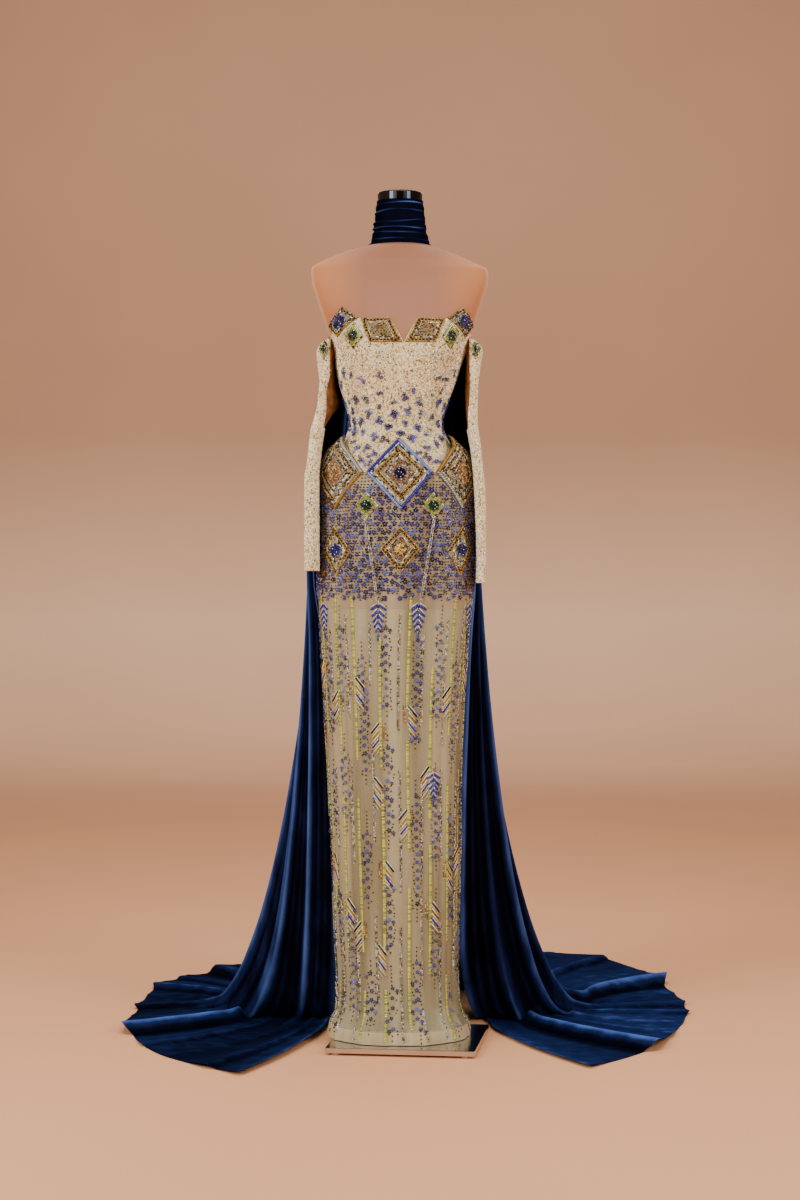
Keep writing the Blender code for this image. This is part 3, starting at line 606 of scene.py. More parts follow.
def arm_cut(points):
    """(points held inside the arm planes, how close each is to the tape on the plane's edge)."""
    row = row_at(FIGURE, points[..., 2])
    share = np.clip((points[..., 2] - ARM_CUT_Z[0]) / (ARM_CUT_Z[1] - ARM_CUT_Z[0]), 0, 1)
    depth = ARM_CUT_IN * np.sin(np.pi * share)
    limit = row.half_width - depth
    side = points[..., 0] - AXIS[0] - row.shift
    over = np.abs(side) - limit
    held = points.copy()
    held[..., 0] = AXIS[0] + row.shift + np.sign(side) * np.minimum(np.abs(side), limit)
    tape = np.where(depth > 0.0004, hump(over + 0.0005, TAPE), 0.0)
    return held, tape


torso_turns = np.arange(0.0, 360.0, 3.0)
torso_heights = np.concatenate([
    np.linspace(FORM_FOOT_Z, 1.42, 34)[:-1], np.linspace(1.42, 1.60, 22)[:-1],
    np.linspace(1.60, 1.70, 36)[:-1], np.linspace(1.70, CAP_FOOT_Z - SEAM, 8),
])
torso_grid, tape = arm_cut(figure_point(torso_turns[None], torso_heights[:, None], 0.0))
index = np.arange(tape.size).reshape(tape.shape)
# The `side` mark is painted light: it grows towards the torso's sides, where the skin is painted lighter and
# more orange.
torso = make_object(
    "dress_form", torso_grid.reshape(-1, 3), [*quads(index, True), index[0][::-1], index[-1]],
    [finishes["form_skin"]],
    {"arm_rim": tape, "side": np.clip(np.abs(torso_grid[..., 0] - AXIS[0]) / 0.17 - 0.45, 0, 0.60)},
)
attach(torso, "root")
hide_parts("form_torso")
print("torso:", len(torso.data.polygons), "faces")

# %% [markdown]
# The cap, pole, base plate and feet are hard and their solids are right as they are, so each keeps its shape
# and takes a better finish in its own material slot.

# %% Metal parts keep their solids
for node, finish in (
    ("form_neck_cap", "dark_metal"), ("form_pole", "steel"), ("base_plate", "steel"),
    *((f"base_foot_{i}", "foot") for i in (1, 2, 3, 4)),
):
    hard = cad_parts[node]
    hard.data.materials.clear()
    hard.data.materials.append(finishes[finish].material)

# %% [markdown]
# ## Bodice and skirt
# Three panels each: a front and two backs, with side seams and a centre back seam. The bodice is stiff with
# beads. The skirt is net, which falls in soft upright folds that deepen towards the hem, uneven in spacing.
# A few waves of different lengths added together make such folds; a cloth simulation would give the same
# upright fall, but no say over where the folds lie.

# %% Soft folds
PANEL_STEP = 2.2
WAIST_RADIUS = 0.086
PANELS = {
    "front": (-SIDE_SEAM, SIDE_SEAM),
    "back_r": (SIDE_SEAM, 180.0),
    "back_l": (-180.0, -SIDE_SEAM),
}
# (folds in a full turn, share of the depth)
SKIRT_WAVES = ((23, 1.0), (37, 0.7), (11, 0.6))
HEM_WAVES = ((9, 1.0),)


def folds(turn, waves, seed):
    """A run of uneven folds round the figure, from -1 to 1."""
    pick = np.random.default_rng(seed)
    angle = np.radians(turn)
    made = 0.0
    for count, share in waves:
        drift = angle * count + pick.uniform(0, math.tau) + 0.6 * np.sin(angle * 3 + count)
        made = made + share * np.sin(drift)
    return made / sum(share for _, share in waves)


def panel_turns(start, end):
    """Turns of a panel's columns, drawn in at both ends by half a seam's gap."""
    half_gap = math.degrees(0.5 * SEAM / WAIST_RADIUS)
    count = round((end - start) / PANEL_STEP) + 1
    return np.linspace(start + half_gap, end - half_gap, count) + FRONT_TURN


def skirt_surface(turn, height, out=0.0):
    """The net's outer face: snug over the hips, in soft folds below them, wider waves at the hem."""
    turn, height = np.asarray(turn), np.asarray(height)
    loose = 0.0022 * np.clip((0.93 - height) / 0.5, 0, 1) * folds(turn, SKIRT_WAVES, 3)
    flare = 0.0018 * np.clip((0.12 - height) / 0.1, 0, 1) * folds(turn, HEM_WAVES, 5)
    return figure_point(turn, height, GOWN_OUT + loose + flare + out)


# %% Cut the panels
NET_THICK = 0.0006
NET_HEM_Z = 0.0172
BODICE_THICK = 0.0016
shares = np.linspace(0, 1, 50)[:, None]
net_rows = np.concatenate([np.linspace(NET_HEM_Z, 0.12, 20)[:-1], np.linspace(0.12, HIP_SEAM_Z, 56)])[:, None]
for panel, (start, end) in PANELS.items():
    turns = panel_turns(start, end)
    low = HIP_SEAM_Z + SEAM
    grid = figure_point(turns[None], low + (neckline(turns)[None] - low) * shares, GOWN_OUT)
    cloth(f"bodice_{panel}", grid, BODICE_THICK, "cream_beads", "stretched", "dress_form")
    grid = skirt_surface(turns[None], net_rows)
    cloth(f"skirt_{panel}", grid, NET_THICK, "sheer_net", "hung", "dress_form")

# %% [markdown]
# Under the net hangs a gathered lining from the foot of the form. Its pleats are closer and deeper than the
# folds of the net, and show through it as upright light and dark bands.

# %% The gathered lining
LINING_WAVES = ((46, 1.0), (31, 0.9), (17, 0.8))
# (height, how far the lining stands outside the figure there)
LINING = (
    (0.030, -0.0100), (0.050, -0.0120), (0.075, -0.0140), (0.110, -0.0140), (0.300, -0.0140),
    (0.550, -0.0120), (0.800, -0.0090), (0.880, -0.0050), (0.9184, -0.0004),
)
turns = np.arange(0.0, 360.0, 2.0)
heights = np.linspace(LINING_HEM_Z, FORM_FOOT_Z - EASE, 30)[:, None]
outs = cubic(*zip(*LINING), heights)
depth = np.minimum(0.0036, -outs * 0.45)
outs = outs - np.minimum(0.002, -outs)
grid = figure_point(turns[None], heights, outs + depth * folds(turns, LINING_WAVES, 8)[None])
cloth("skirt_lining", grid, NET_THICK, "nude_net", "gathered", "dress_form", wrap=True)

# %% [markdown]
# ## Sleeves
# Each sleeve is an empty, flattened tube, beaded outside and painted brown inside as its shade. The tube's
# oval changes down its length in the same rows as its solid. Slight dents across it show that nothing fills
# it.

# %% The empty sleeves
# Each row is an oval: its middle, half its thickness and length, and how far it is turned
Tube = namedtuple("Tube", "height x_mid half_thick y_mid half_long yaw")
SLEEVES = {
    "l": (
        Tube(0.9990, -0.1850, 0.0145, -0.0540, 0.0440, 0.0),
        Tube(1.0860, -0.1857, 0.0143, -0.0540, 0.0430, 0.0),
        Tube(1.1918, -0.1857, 0.0140, -0.0540, 0.0440, 0.0),
        Tube(1.2340, -0.1813, 0.0125, -0.0450, 0.0450, 0.0),
        Tube(1.2975, -0.1740, 0.0128, -0.0300, 0.0470, 2.0),
        Tube(1.3190, -0.1660, 0.0120, -0.0200, 0.0480, 9.0),
        Tube(1.3600, -0.1510, 0.0115, -0.0080, 0.0480, 22.0),
        Tube(1.3820, -0.1520, 0.0115, -0.0060, 0.0490, 16.0),
        Tube(1.4138, -0.1545, 0.0150, -0.0050, 0.0500, 5.0),
        Tube(1.4625, -0.1575, 0.0175, -0.0050, 0.0500, 2.0),
        Tube(1.4920, -0.1575, 0.0175, -0.0050, 0.0500, 0.0),
    ),
    "r": (
        Tube(0.9740, 0.1695, 0.0075, -0.0560, 0.0430, -2.0),
        Tube(1.0226, 0.1708, 0.0080, -0.0560, 0.0430, 0.0),
        Tube(1.0850, 0.1700, 0.0088, -0.0560, 0.0430, 0.0),
        Tube(1.1700, 0.1677, 0.0100, -0.0540, 0.0440, 0.0),
        Tube(1.2130, 0.1640, 0.0092, -0.0450, 0.0450, 0.0),
        Tube(1.2552, 0.1602, 0.0095, -0.0360, 0.0460, -1.5),
        Tube(1.3187, 0.1520, 0.0100, -0.0180, 0.0480, -3.5),
        Tube(1.3820, 0.1510, 0.0110, -0.0070, 0.0490, -6.5),
        Tube(1.4413, 0.1550, 0.0150, -0.0050, 0.0500, -3.0),
        Tube(1.4625, 0.1565, 0.0170, -0.0050, 0.0500, -2.0),
        Tube(1.4920, 0.1565, 0.0170, -0.0050, 0.0500, 0.0),
    ),
}
ARMHOLE_Z = 1.4760
ARMHOLE_TILT = 0.0140
ARMHOLE_PEAK = -50.0
ELBOW_Z = 1.30
SLEEVE_THICK = 0.0015


def clear_of_figure(points, out):
    """Points moved sideways where they are less than `out` outside the figure's skin."""
    row = row_at(FIGURE, points[..., 2])
    x, y = points[..., 0] - AXIS[0], points[..., 1] - AXIS[1]
    share = np.abs(y) / (np.where(y < 0, row.front, row.back) + out)
    side = np.sign(x)
    limit = (row.half_width + out) * (1 - np.minimum(share, 1) ** ROUNDNESS) ** (1 / ROUNDNESS)
    moved = side * np.maximum(side * x, limit + side * row.shift)
    points = points.copy()
    points[..., 0] = AXIS[0] + np.where(share < 1, moved, x)
    return points


def sleeve_surface(side):
    """A function of (degrees round the oval from its front end, height, out) for that sleeve."""
    table = SLEEVES[side]
    outward = -1 if side == "l" else 1

    def surface(turn, height, out=0.0):
        turn, height, out = np.broadcast_arrays(*(np.asarray(v, float) for v in (turn, height, out)))
        row = row_at(table, height)
        angle = np.radians(turn) * outward
        x = (row.half_thick + out) * np.sin(angle)
        y = -(row.half_long + out) * np.cos(angle)
        yaw = -np.radians(row.yaw)
        across = row.x_mid + x * np.cos(yaw) - y * np.sin(yaw)
        ahead = row.y_mid + x * np.sin(yaw) + y * np.cos(yaw)
        return clear_of_figure(stack(across, ahead, height) + AXIS, GOWN_OUT + SEAM + out)

    return surface


def in_shaded_strip(turn, height):
    """Where the sleeve is painted brown as shade, with no beads: a strip by the body, narrowing to the elbow.
    """
    edge = np.interp(height, (ELBOW_Z, 1.36, 1.45), (290.0, 316.0, 322.0))
    return (turn % 360 > 190) & (turn % 360 < edge) & (height > ELBOW_Z)


def sleeve_top(turn):
    return ARMHOLE_Z + ARMHOLE_TILT * np.cos(np.radians(turn - ARMHOLE_PEAK))


for side in "lr":
    turns = np.arange(0.0, 360.0, 7.2) * (1 if side == "r" else -1)
    low = SLEEVES[side][0].height
    heights = low + (sleeve_top(turns)[None] - low) * np.linspace(0, 1, 64)[:, None]
    dents = 0.0007 * np.sin(heights * 95 + np.radians(turns) * 2) * np.sin(heights * 41 + 1.3)
    grid = sleeve_surface(side)(turns[None], heights, dents)
    # The strip of sleeve next to the body is marked for painted brown shade.
    bare = in_shaded_strip(np.broadcast_to(turns[None], heights.shape), heights).astype(float)
    cloth(
        f"sleeve_{side}", grid, SLEEVE_THICK, "cream_beads", "hung", "bodice_front_cloth",
        wrap=True, inside=["sleeve_satin"], bare=bare,
    )

# %% [markdown]
# ## Collar and cape
# The collar is a band of velvet pushed together into soft rucks. The cape hangs from its back, and runs out
# over the floor in a train. The solid gives the main fold lines; here each gets a rounded crest and a narrow
# trough, with slighter folds between, so that the pile has ridges to shine on. Crests are also painted
# lighter and troughs darker, as painted light and shade.

# %% The ruched collar
Ring = namedtuple("Ring", "height reach")
COLLAR = (
    Ring(1.6912, 0.0036), Ring(1.6990, 0.0052), Ring(1.7090, 0.0066), Ring(1.7190, 0.0040),
    Ring(1.7290, 0.0068), Ring(1.7390, 0.0044), Ring(1.7490, 0.0064), Ring(1.7590, 0.0040),
    Ring(1.7690, 0.0064), Ring(1.7770, 0.0040), Ring(1.7850, 0.0052),
)
Ruck = namedtuple("Ruck", "height size sway turned")
RUCKS = (
    Ruck(1.7770, 0.0024, 0.0014, 0.3), Ruck(1.7600, 0.0038, 0.0022, 1.1), Ruck(1.7400, 0.0044, 0.0034, 5.6),
    Ruck(1.7260, 0.0036, 0.0022, 4.4), Ruck(1.7130, 0.0030, 0.0026, 2.6), Ruck(1.7010, 0.0028, 0.0016, 3.9),
)
RUCK_WIDTH = 0.0023
PAINTED_LIGHT_WIDTH = 0.0016
VELVET_THICK = 0.0015
turns = np.arange(0.0, 360.0, 5.0)
heights = np.linspace(COLLAR[0].height, COLLAR[-1].height, 92)[:, None]
angle = np.radians(turns)[None]
ends = np.sin(np.pi * (heights - heights[0]) / (heights[-1] - heights[0])) ** 0.6
reach = row_at(COLLAR, heights + 0.0030 * np.sin(angle * 2 + 0.7) * ends).reach * 0.75 + 0.0002
crest = np.zeros_like(reach)
for middle, size, sway, turned in RUCKS:
    from_line = heights - middle - sway * (np.sin(angle + turned) + 0.4 * np.sin(angle * 3 + turned * 2))
    fading = 0.55 + 0.45 * np.sin(angle + turned * 5) * np.sin(angle * 2 + turned)
    reach = reach + size * fading * ends * hump(from_line, RUCK_WIDTH)
    # Painted light: a thin lighter line along the middle of each ruck, darker between them.
    crest = np.maximum(crest, 0.14 + 0.85 * fading * hump(from_line, PAINTED_LIGHT_WIDTH))
grid = figure_point(turns[None], heights, np.maximum(reach, 0.0028))
cloth("collar", grid, VELVET_THICK, "velvet", "gathered", "dress_form", wrap=True, crest=crest)

# %% The cape's driving tables
# Rows that hang: half widths, the arc they follow behind the figure, the folds' height and the air inside
Hang = namedtuple("Hang", "height half_l half_r y_side y_reach wrap fold clear")
CAPE_HANG = (
    Hang(1.6885, 0.0680, 0.0680, 0.0000, 0.0560, 50.0, 0.0000, 0.0040),
    Hang(1.6760, 0.0820, 0.0820, 0.0080, 0.0640, 54.0, 0.0004, 0.0075),
    Hang(1.6600, 0.0980, 0.0980, 0.0200, 0.0720, 60.0, 0.0010, 0.0110),
    Hang(1.6100, 0.1200, 0.1200, 0.0420, 0.0720, 72.0, 0.0030, 0.0080),
    Hang(1.5400, 0.1420, 0.1420, 0.0600, 0.0640, 86.0, 0.0050, 0.0080),
    Hang(1.4500, 0.1620, 0.1570, 0.0740, 0.0620, 98.0, 0.0070, 0.0080),
    Hang(1.3100, 0.1780, 0.1610, 0.0870, 0.0660, 106.0, 0.0090, 0.0080),
    Hang(1.1550, 0.1880, 0.1620, 0.0950, 0.0780, 109.0, 0.0100, 0.0080),
    Hang(1.0000, 0.1940, 0.1650, 0.1000, 0.0900, 111.0, 0.0110, 0.0080),
)
# Rows that run out from the hip to the floor: the share of the way, and how far the front edges draw in
Run = namedtuple("Run", "share in_l in_r")
CAPE_RUNS = (
    Run(0.08, 0.020, 0.012), Run(0.17, 0.027, 0.021), Run(0.28, 0.032, 0.030), Run(0.40, 0.034, 0.036),
    Run(0.54, 0.031, 0.039), Run(0.70, 0.024, 0.030), Run(0.85, 0.013, 0.013), Run(1.00, 0.0, 0.0),
)
CAPE_RUN_POWER = 1.2
CAPE_FALL_POWER = 2.1
CAPE_FLOOR_POWER = 1.7
CAPE_FLOOR_FOLD = 0.016
EDGE_IN_SPREAD = 0.9
LIES_FROM = 0.54
LIES_AT_TOUCH = 0.7
# Each main fold's line: where it touches the floor, where it ends at the hem, and how deep it is
Gore = namedtuple("Gore", "touch_x touch_y hem_x hem_y depth")
GORES = (
    Gore(-0.150, 0.270, -0.315, -0.370, 0.5), Gore(-0.245, 0.270, -0.505, -0.150, 1.0),
    Gore(-0.375, 0.320, -0.590, 0.100, 0.8), Gore(-0.455, 0.420, -0.605, 0.380, 1.2),
    Gore(-0.425, 0.560, -0.595, 0.680, 0.9), Gore(-0.330, 0.660, -0.470, 0.920, 1.1),
    Gore(-0.160, 0.700, -0.240, 1.090, 0.9), Gore(0.010, 0.720, 0.040, 1.200, 0.8),
    Gore(0.180, 0.700, 0.300, 1.260, 1.0), Gore(0.330, 0.640, 0.515, 1.180, 0.9),
    Gore(0.425, 0.540, 0.630, 0.820, 1.2), Gore(0.450, 0.410, 0.660, 0.450, 0.8),
    Gore(0.375, 0.310, 0.620, 0.150, 1.1), Gore(0.260, 0.260, 0.520, -0.110, 0.9),
    Gore(0.186, 0.270, 0.380, -0.300, 0.5),
)


def gore_at(position):
    """The fold lines' columns at any places between them, on smooth curves."""
    last = len(GORES) - 1
    i = np.minimum(position.astype(int), last - 1)
    t = position - i
    made = []
    for column in zip(*GORES):
        column = np.array([2 * column[0] - column[1], *column, 2 * column[-1] - column[-2]])
        before, a, b, after = (column[i + k] for k in range(4))
        made.append(0.5 * (
            2 * a + (b - before) * t + (2 * before - 5 * a + 4 * b - after) * t * t
            + (3 * a - before - 3 * b + after) * t**3
        ))
    return Gore(*made)


# %% [markdown]
# One column of the cape is hung, then runs out from the hip, then lies on the floor. Rows are numbered from
# the collar to the hem, so that a whole column is a smooth curve through its rows.

# %% The cape's surface
CAPE_STEPS = 20
CAPE_FINE = 5
# Hanging folds: (folds for each main fold, share of the height, how they lean)
HUNG_FOLDS = ((1.0, 0.85, 0.0), (2.0, 0.65, 0.0), (3.4, 0.26, -0.6))
TROUGH = 1.15
# Folds on the floor: (ridges for each main fold, share of the height)
LAID_FOLDS = ((1.0, 1.0), (2.0, 0.40), (5.0, 0.10))
RIDGE_HEIGHT = 0.028
RIDGE_RISE = 0.15
RIDGE_TOP = 0.17
HEM_FROM = 0.86
JAG_OUT = 0.030
JAG_IN = 0.008


def cape_columns():
    """(fold position, middle surface, fold height, how far it lies down, fold depth), rows by columns."""
    last = len(GORES) - 1
    position = np.arange(CAPE_STEPS * last + 1) / CAPE_STEPS
    gore = gore_at(position)
    places, fold, lying = [], [], []
    for row in CAPE_HANG:
        angle = math.radians(row.wrap) * (2 * position / last - 1)
        x = np.where(angle < 0, row.half_l, row.half_r) * np.sin(angle)
        y = row.y_side + row.y_reach * np.cos(angle)
        section = row_at(FIGURE, row.height)
        out = row.clear + row.fold
        share = np.minimum(np.abs(x - section.shift) / (section.half_width + out), 1)
        y = np.maximum(y, (section.back + out) * (1 - share**ROUNDNESS) ** (1 / ROUNDNESS))
        places.append(stack(x, y, row.height))
        fold.append(row.fold)
        lying.append(0.0)
    hip, start = CAPE_HANG[-1], places[-1]
    touch, hem = stack(gore.touch_x, gore.touch_y, 0.0), stack(gore.hem_x, gore.hem_y, 0.0)
    near = hump(np.minimum(position, last - position), EDGE_IN_SPREAD)
    for run, in_l, in_r in CAPE_RUNS:
        at = start + (touch - start) * run**CAPE_RUN_POWER
        at[:, 0] += near * np.where(position < last / 2, in_l, -in_r)
        at[:, 2] = hip.height * (1 - run) ** CAPE_FALL_POWER
        places.append(at)
        fold.append(hip.fold + (CAPE_FLOOR_FOLD - hip.fold) * run)
        lying.append(max(0.0, (run - LIES_FROM) / (1 - LIES_FROM)) * LIES_AT_TOUCH)
    for share in (0.25, 0.5, 0.75, 1.0):
        at = touch + (hem - touch) * share
        at[:, 0] = gore.touch_x + (gore.hem_x - gore.touch_x) * share**CAPE_FLOOR_POWER
        places.append(at)
        fold.append(CAPE_FLOOR_FOLD * (1 - 0.8 * share))
        lying.append(min(1.0, LIES_AT_TOUCH + 0.6 * share))
    keys = np.arange(len(places), dtype=float)
    fine = np.linspace(0, len(places) - 1, CAPE_FINE * (len(places) - 1) + 1)
    flat = np.array(places).reshape(len(places), -1)
    grid = np.stack([cubic(keys, column, fine) for column in flat.T], -1).reshape(len(fine), -1, 3)
    fold, lying = (cubic(keys, values, fine)[:, None] for values in (fold, lying))
    return position, grid, fold, lying, gore.depth[None]


def hung_folds(place, moved, down):
    """Rounded folds with sharp troughs, uneven across and down."""
    made = 0.0
    for count, share, lean in HUNG_FOLDS:
        uneven = 0.72 + 0.28 * np.sin(place * (2.1 + count) + down * 5)
        crest = np.abs(np.cos(math.pi * (moved * count + down * lean)))
        made = made + share * uneven * (2 * crest**0.8 - TROUGH)
    return np.maximum(made, -TROUGH)


def laid_folds(from_edge, on_right):
    """(height of the ridges, painted highlight on their tops, painted shadow at their feet), counted inwards
    from the front edges. Some of the folds run on over the floor as ridges that drop off steeply towards the
    front, with flat cloth between."""
    ridges = painted_ridge_tops = painted_ridge_feet = 0.0
    for count, share in LAID_FOLDS:
        along = from_edge * count + RIDGE_RISE
        step, number = along % 1.0, np.floor(along)
        tall, taller = (
            (0.5 + 0.5 * np.sin(n * 2.4 + count * 3 + 2.2 * on_right)) ** 1.4 for n in (number, number + 1)
        )
        ridges = ridges + share * tall * eased(step / RIDGE_RISE) * (1 - step) ** 1.8
        painted_ridge_tops = painted_ridge_tops + share * tall * hump(step - RIDGE_TOP, 0.07)
        painted_ridge_feet = painted_ridge_feet + share * (tall * hump(step, 0.06) + taller * hump(1 - step, 0.08))
    return ridges, painted_ridge_tops, painted_ridge_feet


def cape_grid():
    """(outer face, painted light and shade at each point)."""
    position, middle, fold, lying, depth = cape_columns()
    down = np.linspace(0, 1, len(middle))[:, None]
    place = position[None]
    half = (len(GORES) - 1) / 2
    moved = place + 0.10 * np.sin(down * 7 + place * 1.7) + 0.12 * np.sin(place * 1.1)
    from_edge = half - np.abs(moved - half)
    on_right = (place > half) * 1.0
    hanging = hung_folds(place, moved, down)
    ridges, painted_ridge_tops, painted_ridge_feet = laid_folds(from_edge, on_right)
    ridges = ridges * np.clip((half - from_edge) / 0.5, 0, 1)
    wave = fold * depth * hanging * (1 - lying) + RIDGE_HEIGHT * ridges * lying
    grid = middle + grid_normals(middle, False) * (wave + lying * CLOTH / 2)[..., None]
    outward = unit(middle[-1] - middle[-4 * CAPE_FINE])
    edge = np.clip((down - HEM_FROM) / (1 - HEM_FROM), 0, 1) ** 2
    jags = edge * (JAG_OUT * ridges - JAG_IN + 0.003 * np.sin(from_edge * 3))
    grid = grid + outward[None] * jags[..., None]
    grid[..., 2] = np.maximum(grid[..., 2], VELVET_THICK + 0.0001)
    # Painted light and shade: hanging folds are lighter on their crests, darker in their troughs and darker
    # on the right; cloth on the floor is lighter on the right and varies along it, with painted highlights on
    # the ridge tops and painted shadows at their feet.
    hung = np.clip(0.42 + 0.50 * hanging - 0.12 * on_right, 0, 1) ** 1.4
    clouds = 0.38 + 0.16 * on_right + 0.10 * np.sin(from_edge * 2.9 + down * 9)
    laid = np.clip(clouds + 0.5 * painted_ridge_tops - 0.5 * painted_ridge_feet, 0, 1)
    return grid + AXIS, hung * (1 - lying) + laid * lying


grid, crest = cape_grid()
middle = grid.shape[1] // 2
for side, part, edge, apart in (
    ("l", slice(0, middle + 1), -1, -SEAM / 2), ("r", slice(middle, None), 0, SEAM / 2),
):
    half = grid[:, part].copy()
    half[:, edge, 0] += apart
    cloth(f"cape_{side}", half, VELVET_THICK, "velvet", "hung", "collar_cloth", crest=crest[:, part])

# %% [markdown]
# ## Loose beads through Geometry Nodes
# A bead is one small shape on every point of a cloud. Each point carries which way the bead lies, which way
# is out, its size and its tint. The tree makes the shape from named sizes, varies it a little with a fixed
# seed, and realizes the copies, so that the result is a plain mesh.

# %% The bead tree
def ball(add, across, along):
    """A bead of eight faces, which at this size looks round."""
    shape = add("GeometryNodeMeshUVSphere", Segments=4, Rings=2, Radius=0.5)
    size = add("ShaderNodeCombineXYZ", X=along, Y=across, Z=across)
    return add("GeometryNodeTransform", Geometry=shape.outputs[0], Scale=size.outputs[0]).outputs[0]


def bugle(add, across, along):
    """A tube of five sides, laid along x."""
    tube = add("GeometryNodeMeshCylinder", {"fill_type": "NGON"}, Vertices=5, Radius=0.5, Depth=1.0)
    smooth = add("GeometryNodeSetShadeSmooth", Geometry=tube.outputs[0])
    laid = add("GeometryNodeTransform", Geometry=smooth.outputs[0], Rotation=(0.0, math.pi / 2, 0.0))
    size = add("ShaderNodeCombineXYZ", X=along, Y=across, Z=across)
    return add("GeometryNodeTransform", Geometry=laid.outputs[0], Scale=size.outputs[0]).outputs[0]


def aimed(add, axes, first, second):
    """A rotation that turns two axes into two directions."""
    lie = add("FunctionNodeAxesToRotation", {"primary_axis": axes[0], "secondary_axis": axes[1]})
    feed(lie.id_data, lie.inputs[0], first)
    feed(lie.id_data, lie.inputs[1], second)
    return lie.outputs[0]


def blossom(add, across, along):
    """Five petals in a ring, and a raised heart whose points are marked for the glass."""
    ring = add("GeometryNodeMeshCircle", Vertices=5, Radius=along * 0.3)
    outward = add("GeometryNodeInputPosition").outputs[0]
    petals = add(
        "GeometryNodeInstanceOnPoints", Points=ring.outputs[0], Instance=ball(add, across, along * 0.52),
        Rotation=aimed(add, "XZ", outward, (0.0, 0.0, 1.0)),
    )
    heart = ball(add, across * 0.8, across * 0.8)
    raised = add("GeometryNodeTransform", Geometry=heart, Translation=(0.0, 0.0, 0.0009))
    marked = add(
        "GeometryNodeStoreNamedAttribute", {"data_type": "FLOAT", "domain": "POINT"},
        Geometry=raised.outputs[0], Name="heart", Value=1.0,
    )
    join = add("GeometryNodeJoinGeometry")
    for part in (petals, marked):
        feed(join.id_data, join.inputs[0], part.outputs[0])
    return add("GeometryNodeRealizeInstances", Geometry=join.outputs[0]).outputs[0]


SHAPES = {"seed": ball, "bugle": bugle, "blossom": blossom}


def bead_tree(kind):
    """A Geometry Nodes tree that sets a bead of this kind on every point."""
    tree = bpy.data.node_groups.new(f"set_{kind}", "GeometryNodeTree")
    sockets = {}
    for name, way, type_ in (
        ("Points", "INPUT", "Geometry"), ("Width", "INPUT", "Float"), ("Length", "INPUT", "Float"),
        ("Unevenness", "INPUT", "Float"), ("Seed", "INPUT", "Int"), ("Finish", "INPUT", "Material"),
        ("Beads", "OUTPUT", "Geometry"),
    ):
        made = tree.interface.new_socket(name, in_out=way, socket_type=f"NodeSocket{type_}")
        sockets[name] = made.identifier
    start = add_node(tree, "NodeGroupInput").outputs

    def add(kind_, settings=None, **inputs):
        spaced = {key.replace("_", " "): value for key, value in inputs.items()}
        return add_node(tree, kind_, settings, spaced)

    def carried(name, type_):
        return add("GeometryNodeInputNamedAttribute", {"data_type": type_}, Name=name).outputs[0]

    shape = SHAPES[kind](add, Value(start["Width"]), Value(start["Length"]))
    vary = add("FunctionNodeRandomValue", {"data_type": "FLOAT"}, Seed=start["Seed"])
    feed(tree, vary.inputs[2], 1.0 - Value(start["Unevenness"]))
    feed(tree, vary.inputs[3], 1.0 + Value(start["Unevenness"]))
    placed = add(
        "GeometryNodeInstanceOnPoints", Points=start["Points"], Instance=shape,
        Rotation=aimed(add, "ZX", carried("out_of", "FLOAT_VECTOR"), carried("along", "FLOAT_VECTOR")),
        Scale=Value(vary.outputs[1]) * Value(carried("size", "FLOAT")),
    )
    whole = add("GeometryNodeRealizeInstances", Geometry=placed.outputs[0])
    finished = add("GeometryNodeSetMaterial", Geometry=whole.outputs[0], Material=start["Finish"])
    end = add_node(tree, "NodeGroupOutput")
    feed(tree, end.inputs[0], finished.outputs[0])
    return tree, sockets


TREES = {kind: bead_tree(kind) for kind in ("seed", "bugle", "blossom")}
bead_counts = []


def set_beads(name, kind, width, length, places, along, out_of, tints, size, lined, seed, uneven=0.08):
    """One piece of joined beads; tints are linear colours and `lined` says how metallic the beads are."""
    count = len(places)
    cloud = bpy.data.meshes.new(name)
    cloud.from_pydata(np.asarray(places, float).tolist(), [], [])
    for key, type_, field, values, parts in (
        ("along", "FLOAT_VECTOR", "vector", along, 3), ("out_of", "FLOAT_VECTOR", "vector", out_of, 3),
        ("tint", "FLOAT_COLOR", "color", tints, 4), ("size", "FLOAT", "value", size, 1),
        ("lined", "FLOAT", "value", lined, 1),
    ):
        filled = np.broadcast_to(np.asarray(values, float).reshape(-1, parts), (count, parts))
        mark = cloud.attributes.new(key, type_, "POINT")
        mark.data.foreach_set(field, filled.astype(np.float32).ravel())
    carrier = linked(f"{name}_points", cloud)
    tree, sockets = TREES[kind]
    modifier = carrier.modifiers.new("beads", "NODES")
    modifier.node_group = tree
    for key, value in (
        ("Width", width), ("Length", length), ("Unevenness", uneven), ("Seed", seed),
        ("Finish", finishes["glass"].material),
    ):
        modifier[sockets[key]] = value
    graph = bpy.context.evaluated_depsgraph_get()
    mesh = bpy.data.meshes.new_from_object(carrier.evaluated_get(graph), depsgraph=graph)
    mesh.name = name
    bpy.data.objects.remove(carrier)
    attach(linked(name, mesh), "root")
    triangles = sum(len(face.vertices) - 2 for face in mesh.polygons)
    bead_counts.append(triangles)
    print(f"{name}: {count} {kind} beads, {triangles} triangles")


# %% [markdown]
# ## Tints of the beads
# The glass comes in few colours: purple-blue blossoms, leaf-green and silver strands, gold, orange and brown
# seeds, and black, navy and teal for the hearts of the diamonds.

